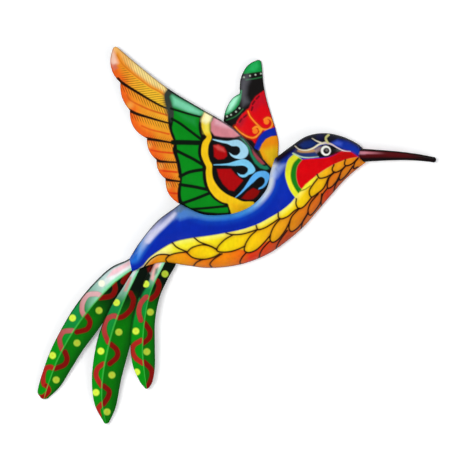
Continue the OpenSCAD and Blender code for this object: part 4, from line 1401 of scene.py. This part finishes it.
FEATHERS = {
    "tail_outer": {
        "edge_d": TAIL_EDGE_D,
        "right": [
            [147, 203], [136.5, 193.5], [125, 178], [111, 158.5], [96.5, 138], [83, 120], [71, 101],
            [60, 83.5], [47.5, 71.2],
        ],
        "ridge": [
            [143, 209], [131.5, 200], [115, 188], [98, 171], [82, 151.5], [68.5, 131], [57, 109],
            [47.5, 84], [43.5, 70.6],
        ],
        "left": [
            [139, 218], [127.5, 210.4], [110, 202], [92, 185], [75.6, 164.6], [60.8, 140.2], [48, 113.5],
            [37.6, 81], [40, 71.8],
        ],
        "bright_spots": [(72.5, 318), (52.5, 355.5)],
        "shaded_spots": [(99, 310.5), (77, 343), (56, 380)],
        "highlight_spots": [(101.5, 283.5)],
        "left_bands": [
            [(101, 296), (97, 294), (88, 295), (83, 302), (82, 310), (84, 315)],
            [(74, 331), (71, 330.6), (63.5, 331.8), (59.8, 337.4), (60, 343), (62, 349)],
            [(52.5, 368), (50, 367), (45, 369), (43, 375), (43, 382), (44, 385)],
        ],
        "right_bands": [
            [(128, 272), (125, 278), (123, 282)],
            [(114, 283), (115, 290), (111, 296), (100, 298)],
            [(87, 316), (90, 322), (87, 329), (77, 332)],
            [(65, 352), (67, 359), (64, 365), (55, 368.5)],
        ],
        "tip_bands": [[(46.5, 386), (48.5, 390.5), (45.5, 395), (41, 397.5), (37, 396.5)]],
        "pale_end": 3.8,
        "pink": 1.0,
        "marks": {
            # Painted highlight, pink, at the root's upper edge
            "glow": ([(129, 261), (131, 264), (117, 273.5), (107, 277.5), (112, 270)], (250, 206, 214)),
        },
    },
    "tail_middle": {
        "edge_d": MIDDLE_EDGE_D,
        "right": [
            [155, 214], [152.5, 203.5], [147, 188], [141, 165], [134.5, 141], [129, 120], [121.5, 92],
            [116, 64], [109, 47.5],
        ],
        "ridge": [
            [147, 213], [140, 202], [131.5, 185], [121.5, 163.5], [113, 140.5], [107.5, 119], [102.7, 93],
            [102, 68], [106, 46],
        ],
        "left": [
            [143, 211], [133, 199], [121.5, 181], [109.7, 162], [100, 139], [94.8, 118], [91.8, 91],
            [94.4, 66], [103.5, 47.3],
        ],
        "bright_spots": [(116.5, 302.5), (101, 351), (96, 392.5)],
        "shaded_spots": [(119, 332), (112, 375), (107, 412)],
        "left_bands": [
            [(117, 317), (114, 315.7), (108, 318.4), (104.6, 325), (104.8, 333), (108.5, 342)],
            [(105, 364), (103, 364), (98, 368), (96, 374), (98, 380), (102, 386)],
            [(102, 404), (98.5, 408), (98, 412), (99, 416)],
        ],
        "right_bands": [
            [(130.5, 293), (133.5, 300), (131, 309), (124, 316), (119, 317.5)],
            [(111, 344), (117, 350), (117, 357), (110, 363.5)],
            [(104, 386), (109, 391), (108, 397), (103.5, 404)],
        ],
        "pale_end": 2.9,
        "pink": 0.3,
        "marks": {
            # Painted highlight by the root's left edge
            "edge_glow": ([
                (124, 291), (126.5, 283), (129.5, 276.5), (131.5, 277.5), (129.5, 283), (126.5, 291),
            ], (226, 156, 148)),
            "root": ([(147.2, 268.5), (150.5, 265.5), (151.5, 274), (148.4, 273)], (126, 14, 14)),
        },
    },
    "tail_inner": {
        "edge_d": INNER_EDGE_D,
        "right": [
            [177, 214], [175.5, 205], [167.5, 190.5], [159.5, 172], [155.2, 149], [155, 124], [155, 104],
            [152.7, 89], [149.3, 82.5],
        ],
        "ridge": [
            [168, 215], [163, 204], [155.5, 189.5], [149, 172.5], [144.5, 148], [142.7, 123],
            [143.7, 105], [145.3, 91], [146.7, 81],
        ],
        "left": [
            [158, 214], [151, 203], [144, 189], [137.5, 171], [132, 148], [130.5, 123], [133, 104],
            [139.5, 89], [144.5, 82],
        ],
        "bright_spots": [(146, 284), (136, 331), (136.8, 372)],
        "shaded_spots": [(165, 274), (150.5, 312), (147, 351.5)],
        "left_bands": [
            [(147, 297), (145, 298), (140.5, 304), (139, 312), (141, 320)],
            [(142, 340), (140, 341), (134, 345), (132.5, 351), (136, 358), (143, 363)],
        ],
        "right_bands": [
            [(157.5, 281), (159, 286), (156.5, 294), (151, 299)],
            [(145, 323), (150, 331), (149, 338), (142.5, 343.5)],
            [(144.5, 362), (151, 369), (152, 376), (149, 384), (146, 388)],
        ],
        "pale_end": 2.6,
        "pink": 0.25,
        "marks": {
            "root_shade": ([
                (138, 296), (143, 280), (149, 271), (151.5, 276), (149.3, 281), (146.8, 287),
                (143.5, 292), (140.5, 299),
            ], (6, 26, 14)),
            # Painted highlight, pink, by the root
            "root_pink": ([
                (155, 263), (160, 263), (156, 272), (153.5, 281), (150.5, 279), (152, 272),
            ], (240, 186, 182)),
            "root_green": ([(155.5, 269), (158, 268), (157, 273), (154.6, 275)], (84, 138, 112)),
            "root_red": ([
                (146, 268), (149, 264), (155, 263.5), (153, 268.5), (151, 273), (148, 272),
            ], (140, 16, 14)),
        },
    },
}
TAIL_GREEN = (5, 147, 16)
# Painted shade on the right halves of the feathers
RIGHT_SHADE_GREEN = (5, 112, 5)
RIGHT_SHADE = (2, 70, 8)
ROOT_SHADE_GREEN = (1, 14, 4)
# Painted highlights on the left halves: a sea-green sheen, and silver, teal, mint and white at the pale
# root
SEA_GREEN_SHEEN = (24, 134, 84)
ROOT_HIGHLIGHT_SILVER = (196, 220, 216)
ROOT_TEAL = (116, 188, 164)
ROOT_MINT = (150, 232, 186)
ROOT_HIGHLIGHT_WHITE = (255, 254, 252)
RIDGE_HIGHLIGHT = (70, 200, 76)
EDGE_GREEN = (4, 40, 10)
BAND_SHADE = (24, 44, 8)
# Bands: darker red on the right halves as painted shade, pink near the root as painted highlight
BAND_RED_SHADED = (126, 9, 4)
BAND_RED_LIT = (178, 36, 28)
BAND_PINK_HIGHLIGHT = (236, 190, 194)
BAND_TIP = (156, 14, 10)
BAND_W = 4.8
SPOT_R = 3.4
CORE_R = 1.6
HEART_R = 0.9
# Spots: bright on the left halves, darker on the right halves as painted shade, near white as painted
# highlight
SPOT_BRIGHT = (222, 254, 74)
SPOT_HIGHLIGHT = (254, 255, 232)
SPOT_SHADED = (172, 204, 58)
SPOT_HEART = (240, 206, 60)
SHADED_HEART = (150, 146, 40)
SHADED_CORE = (190, 194, 50)


def feather_grid(shape, stations, across, inset):
    """Points of a feather: across runs from the right edge (-1) over the ridge (0) to the left edge (1)."""
    right, ridge, left = (spline(shape[key], stations)[:, None, :] for key in ("right", "ridge", "left"))
    v = across[None, :, None]
    p = ridge + (left - right) / 2 * v + ((left + right) / 2 - ridge) * v ** 2
    out = np.clip((stations - FEATHER_MOUTH) / (FEATHER_LAST - FEATHER_MOUTH), 0, 1)
    bow = TAIL_BOW * np.sin(np.pi * out)
    ebb = 1 - TIP_CREASE_LOSS * ramp(CREASE_EBB, FEATHER_LAST, stations)
    crease = mix(CREASE_ROOT, CREASE_RISE, ramp(FEATHER_MOUTH, CREASE_FULL, stations) * ebb)
    d = shape["edge_d"] + bow[:, None] + crease[:, None] * (1 - np.abs(across))[None, :] - inset
    return np.concatenate([p, d[..., None]], axis=2)


def paint_feather_ground(p, shape, across, station):
    """Green of the two halves, with painted shade on the right one and a painted highlight on the pale root
    of the left one.
    """
    right_half = ramp(-0.04, 0.04, -across)
    left_half = 1 - right_half
    pale_end = shape["pale_end"]
    # Painted shade: the right half darker, most at its edge and near the root
    p.blend(right_half, RIGHT_SHADE_GREEN)
    p.blend(0.7 * right_half * ramp(0.55, 1.0, -across), RIGHT_SHADE)
    p.blend(right_half * fade(2.2, 4.0, station), ROOT_SHADE_GREEN)
    # Painted highlight on the left half, strongest at the pale root
    p.blend(0.6 * left_half * fade(pale_end, pale_end + 2.0, station), SEA_GREEN_SHEEN)
    root = left_half * fade(pale_end - 1.4, pale_end, station)
    p.blend(root, ROOT_HIGHLIGHT_SILVER)
    p.blend(0.7 * root * ramp(pale_end - 1.7, pale_end - 0.5, station), ROOT_TEAL)
    p.blend(root * fade(0.1, 0.4, across), ROOT_MINT)
    shine = root * fade(0.1, 0.32, np.abs(across - 0.45)) * fade(pale_end - 2.0, pale_end - 0.8, station)
    p.blend(0.85 * shine, ROOT_HIGHLIGHT_WHITE)
    # Marks at the roots: painted highlights and painted shade among red and teal paint
    for loop, colour in shape["marks"].values():
        p.fill(loop, colour, soft=1.5)
    return left_half, right_half


def paint_bands(p, shape, station, left_half, right_half):
    """Red bands with dark edges: darker on the right halves as painted shade, and turning pink towards the
    pale root as painted highlight.
    """
    pale_end = shape["pale_end"]
    near_root = fade(pale_end - 0.6, pale_end + 0.3, station)
    past_root = fade(pale_end - 0.2, pale_end + 2.4, station)
    # Painted highlight turns the left bands pink near the pale root
    pink = shape["pink"] * left_half * (0.5 * near_root + 0.34 * past_root)
    bands = [(line, BAND_RED_SHADED, BAND_W + 0.2, right_half) for line in shape["right_bands"]]
    bands += [(line, BAND_RED_LIT, BAND_W, left_half) for line in shape["left_bands"]]
    for line, _, width, half in bands:
        p.stroke(line, BAND_SHADE, width + 1.2, soft=0.8, thick=0.4, amount=0.6 * half * (1 - pink))
    for line, colour, width, half in bands:
        p.stroke(line, colour, width, soft=0.6, thick=0.9, amount=half)
    for line in shape["left_bands"]:
        p.stroke(line, BAND_PINK_HIGHLIGHT, BAND_W, soft=0.6, thick=0.9, amount=pink)
    for line in shape.get("tip_bands", []):
        p.stroke(line, BAND_TIP, BAND_W, soft=0.6, thick=0.9)


def paint_spots(p, shape):
    """Yellow spots, most with a darker heart: bright on the left halves, darker on the right halves as
    painted shade, near white as painted highlight.
    """
    for spot in shape["bright_spots"]:
        p.dot(spot, SPOT_R, SPOT_BRIGHT, soft=0.7, thick=1.0)
        p.dot(spot, HEART_R, SPOT_HEART, soft=1.0, amount=0.6, thick=1.0)
    for spot in shape.get("highlight_spots", []):
        p.dot(spot, SPOT_R, SPOT_HIGHLIGHT, soft=0.7, thick=1.0)
    for spot in shape["shaded_spots"]:
        p.dot(spot, SPOT_R, SPOT_SHADED, soft=0.7, thick=1.0)
        p.dot(spot, HEART_R, SHADED_HEART, soft=1.0, amount=0.6, thick=1.0)
        p.dot(spot, CORE_R, SHADED_CORE, soft=1.0, amount=0.8, thick=1.0)


def paint_feather(p, shape, across, station):
    left_half, right_half = paint_feather_ground(p, shape, across, station)
    paint_bands(p, shape, station, left_half, right_half)
    paint_spots(p, shape)
    # Painted highlight along the crease's ridge
    p.blend(0.55 * fade(0.02, 0.08, np.abs(across)) * ramp(0.8, 1.6, station), RIDGE_HIGHLIGHT)
    p.blend(0.9 * ramp(0.84, 0.92, across) * fade(3.0, 6.0, station), BLACK)
    p.blend(0.4 * ramp(0.93, 1.0, np.abs(across)), EDGE_GREEN)


def build_feather(node):
    shape = FEATHERS[node]
    back_step, steps_along, steps_across = 4, 400, 80
    stations = np.linspace(0, FEATHER_LAST, steps_along + 1)
    across = np.linspace(1, -1, steps_across + 1)
    front = feather_grid(shape, stations, across, inset=0.0)
    back = feather_grid(shape, stations[::back_step], across[::back_step], inset=SHEET_T)
    points, faces, count = closed_grid(front, back, back_step)
    p = Paint(front.reshape(-1, 3), TAIL_GREEN)
    paint_feather(p, shape, np.tile(across, len(stations)), np.repeat(stations, len(across)))
    add_piece("painted_" + node, node, points, faces, count, p)


# Beak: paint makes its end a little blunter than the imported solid

TIP_R = 2.75
TIP_END = BEAK_LEN + 0.6
TIP_DROP = 4.4
TIP_TURN = 85.0
BEAK_TAPER = 1.2
BEAK_RED = (84, 8, 14)
# Painted highlights on the beak: pink along the top, paler at the base
BEAK_PINK_HIGHLIGHT = (230, 142, 156)
BEAK_PALE_HIGHLIGHT = (236, 160, 180)
BEAK_SHADE = (14, 4, 6)
BEAK_DARK = (16, 6, 8)
# Columns between which the beak's paint changes
PINK_HIGHLIGHT_END = (363, 388)
PALE_HIGHLIGHT_END = (360, 368)
DARK_START = (396, 428)


def beak_rings(rings=130, tip_rings=12):
    """Place along the beak, height and radius of each ring from the shank to the round tip."""
    s = np.linspace(0, 1, rings + 1)
    x = BEAK_AXIS[0] + s * (TIP_END - TIP_R)
    z = BEAK_AXIS[1] - TIP_DROP * s ** 3
    r = TIP_R + (BEAK_R - TIP_R) * (1 - s) ** BEAK_TAPER
    cap = np.radians(TIP_TURN * np.arange(1, tip_rings + 1) / tip_rings)
    x = np.concatenate([[BEAK_AXIS[0] - SHANK_LEN], x, x[-1] + TIP_R * np.sin(cap)])
    z = np.concatenate([[BEAK_AXIS[1]], z, np.full(tip_rings, z[-1])])
    r = np.concatenate([[BEAK_R], r, TIP_R * np.cos(cap)])
    return x, z, r


def paint_beak(p, height):
    """Dark red with a painted pink highlight, paler at the base, and darker top and bottom; height runs
    from -1 under the beak to 1 on top of it.
    """
    p.blend(0.8 * fade(*PINK_HIGHLIGHT_END, p.x) * fade(0.05, 0.32, np.abs(height - 0.38)), BEAK_PINK_HIGHLIGHT)
    p.blend(0.7 * fade(*PALE_HIGHLIGHT_END, p.x) * fade(0.1, 0.45, np.abs(height - 0.34)), BEAK_PALE_HIGHLIGHT)
    p.blend(ramp(0.56, 0.8, height) + ramp(0.05, 0.65, -height), BEAK_SHADE)
    p.blend(ramp(*DARK_START, p.x), BEAK_DARK)


def build_beak():
    sides = 64
    x, z, r = beak_rings()
    turn = 2 * np.pi * np.arange(sides) / sides
    points = np.stack([
        np.repeat(x[:, None], sides, axis=1),
        z[:, None] + r[:, None] * np.sin(turn),
        BEAK_AXIS_D + r[:, None] * np.cos(turn),
    ], axis=-1).reshape(-1, 3)
    last = len(x) - 1
    walls = []
    for i in range(last):
        a = i * sides + np.arange(sides)
        b = i * sides + (np.arange(sides) + 1) % sides
        walls += np.stack([a, a + sides, b + sides, b], axis=1).tolist()
    ends = [list(range(sides)), [last * sides + k for k in reversed(range(sides))]]
    p = Paint(points, BEAK_RED)
    paint_beak(p, np.tile(np.sin(turn), len(x)))
    add_piece("painted_beak", "beak", points, walls + ends, len(walls), p)


# Hanger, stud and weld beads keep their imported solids; their lumps are in metres

LUMP_SIZE = 0.0016
LUMP_HEIGHT = 0.0006


def dress_nodes():
    lumps = bpy.data.textures.new("weld_lumps", "CLOUDS")
    lumps.noise_scale = LUMP_SIZE
    for name, piece in frame["nodes"].items():
        if name in ("hanger_strap", "wing_stay"):
            piece.data.materials.clear()
            piece.data.materials.append(HANGER_PAINT)
        elif name.endswith("_tacks"):
            piece.data.materials.clear()
            piece.data.materials.append(WELD)
            lump = piece.modifiers.new("lumps", "DISPLACE")
            lump.texture = lumps
            lump.strength = LUMP_HEIGHT


# Stage, light and camera, with places and lengths in metres

WALL_GAP = 0.0006
WALL_HALF = 1.6
WALL_WHITE = (0.9, 0.9, 0.9, 1)
WALL_GLOW = 0.25
AMBIENT = (0.95, 0.97, 1.0, 1)
AMBIENT_STRENGTH = 0.36
WHITE = (1, 1, 1, 1)
CAMERA_FAR = 3.2
# Sensor, and the point of the board that the camera and the lamps face, in millimetres
SENSOR = 36.0
IMAGE_CENTRE = np.array([235.0, 235.0])
FOCUS_D = 12.0
# Lamps: place, size, watts, and whether only the lacquer mirrors it
LAMPS = {
    "key": ((-0.68, -2.25, 0.12), 0.8, 29, False),
    "fill": ((1.13, -1.48, -1.35), 1.4, 15.5, False),
    "back_fill": ((1.0, 1.4, 0.75), 1.0, 58, False),
    "window_left": ((-0.95, 0.1, 0.81), 0.75, 21, True),
    "window_right": ((0.77, -1.3, 0.98), 0.35, 10, True),
}


def board_to_row(x, y, d):
    return Vector(((x - NAIL[0]) * MM, -d * MM, (BOARD - y - NAIL[1]) * MM))


def sees_white(tree):
    """1 for the rays of the camera, of reflections and of glass."""
    path = tree.nodes.new("ShaderNodeLightPath").outputs
    total = path["Is Camera Ray"]
    for ray in ("Is Glossy Ray", "Is Transmission Ray"):
        total = add_node(tree, "Math", {0: total, 1: path[ray]}, operation="MAXIMUM")
    return total


def wall():
    """White wall: its front shows to the camera and in reflections, and other light passes through it."""
    mesh = bpy.data.meshes.new("wall")
    h = WALL_HALF
    corners = [(-h, WALL_GAP, -h), (h, WALL_GAP, -h), (h, WALL_GAP, h), (-h, WALL_GAP, h)]
    mesh.from_pydata(corners, [], [(0, 1, 2, 3)])
    material, tree, shader = new_material("white_wall")
    tree.nodes.remove(shader)
    paint = add_node(tree, "BsdfDiffuse", {"Color": WALL_WHITE})
    glow = add_node(tree, "Emission", {"Strength": WALL_GLOW})
    lit = add_node(tree, "AddShader", {0: paint, 1: glow})
    behind = add_node(tree, "NewGeometry", {}, "Backfacing")
    shown = add_node(tree, "Math", {0: sees_white(tree), 1: behind}, operation="SUBTRACT", use_clamp=True)
    clear = add_node(tree, "BsdfTransparent", {})
    surface = add_node(tree, "MixShader", {0: shown, 1: clear, 2: lit})
    set_inputs(tree, tree.nodes["Material Output"], {"Surface": surface})
    mesh.materials.append(material)
    piece = link("wall", mesh)


def world():
    """White room for the camera and for reflections, and a softer light for the paint."""
    room = bpy.data.worlds.new("room")
    room.use_nodes = True
    tree = room.node_tree
    ambient = tree.nodes["Background"]
    set_inputs(tree, ambient, {"Color": AMBIENT, "Strength": AMBIENT_STRENGTH})
    white = add_node(tree, "Background", {"Color": WHITE})
    surface = add_node(tree, "MixShader", {0: sees_white(tree), 1: ambient.outputs[0], 2: white})
    set_inputs(tree, tree.nodes["World Output"], {"Surface": surface})
    bpy.context.scene.world = room


def lamp(name, place, size, watts, window):
    """Soft lamp for the paint, or a window that only the lacquer mirrors."""
    data = bpy.data.lights.new(name, "AREA")
    data.shape = "RECTANGLE"
    data.size = size
    data.size_y = size
    data.energy = watts
    light = link(name, data)
    light.location = place
    way = board_to_row(*IMAGE_CENTRE, FOCUS_D) - Vector(place)
    light.rotation_euler = way.to_track_quat("-Z", "Y").to_euler()
    light.visible_camera = False
    light.visible_diffuse = not window
    light.visible_glossy = window


def camera():
    data = bpy.data.cameras.new("camera")
    data.sensor_width = SENSOR
    data.lens = SENSOR * (CAMERA_FAR - FOCUS_D * MM) / (BOARD * MM)
    data.dof.use_dof = False
    eye = link("camera", data)
    middle = board_to_row(*IMAGE_CENTRE, 0.0)
    eye.location = (middle.x, -CAMERA_FAR, middle.z)
    eye.rotation_euler = (math.radians(90), 0, 0)
    bpy.context.scene.camera = eye


build_body()
build_near_wing()
build_far_wing()
for feather in FEATHERS:
    build_feather(feather)
build_beak()
dress_nodes()
wall()
world()
for name, row in LAMPS.items():
    lamp(name, *row)
camera()
bpy.context.scene.view_settings.view_transform = "Standard"
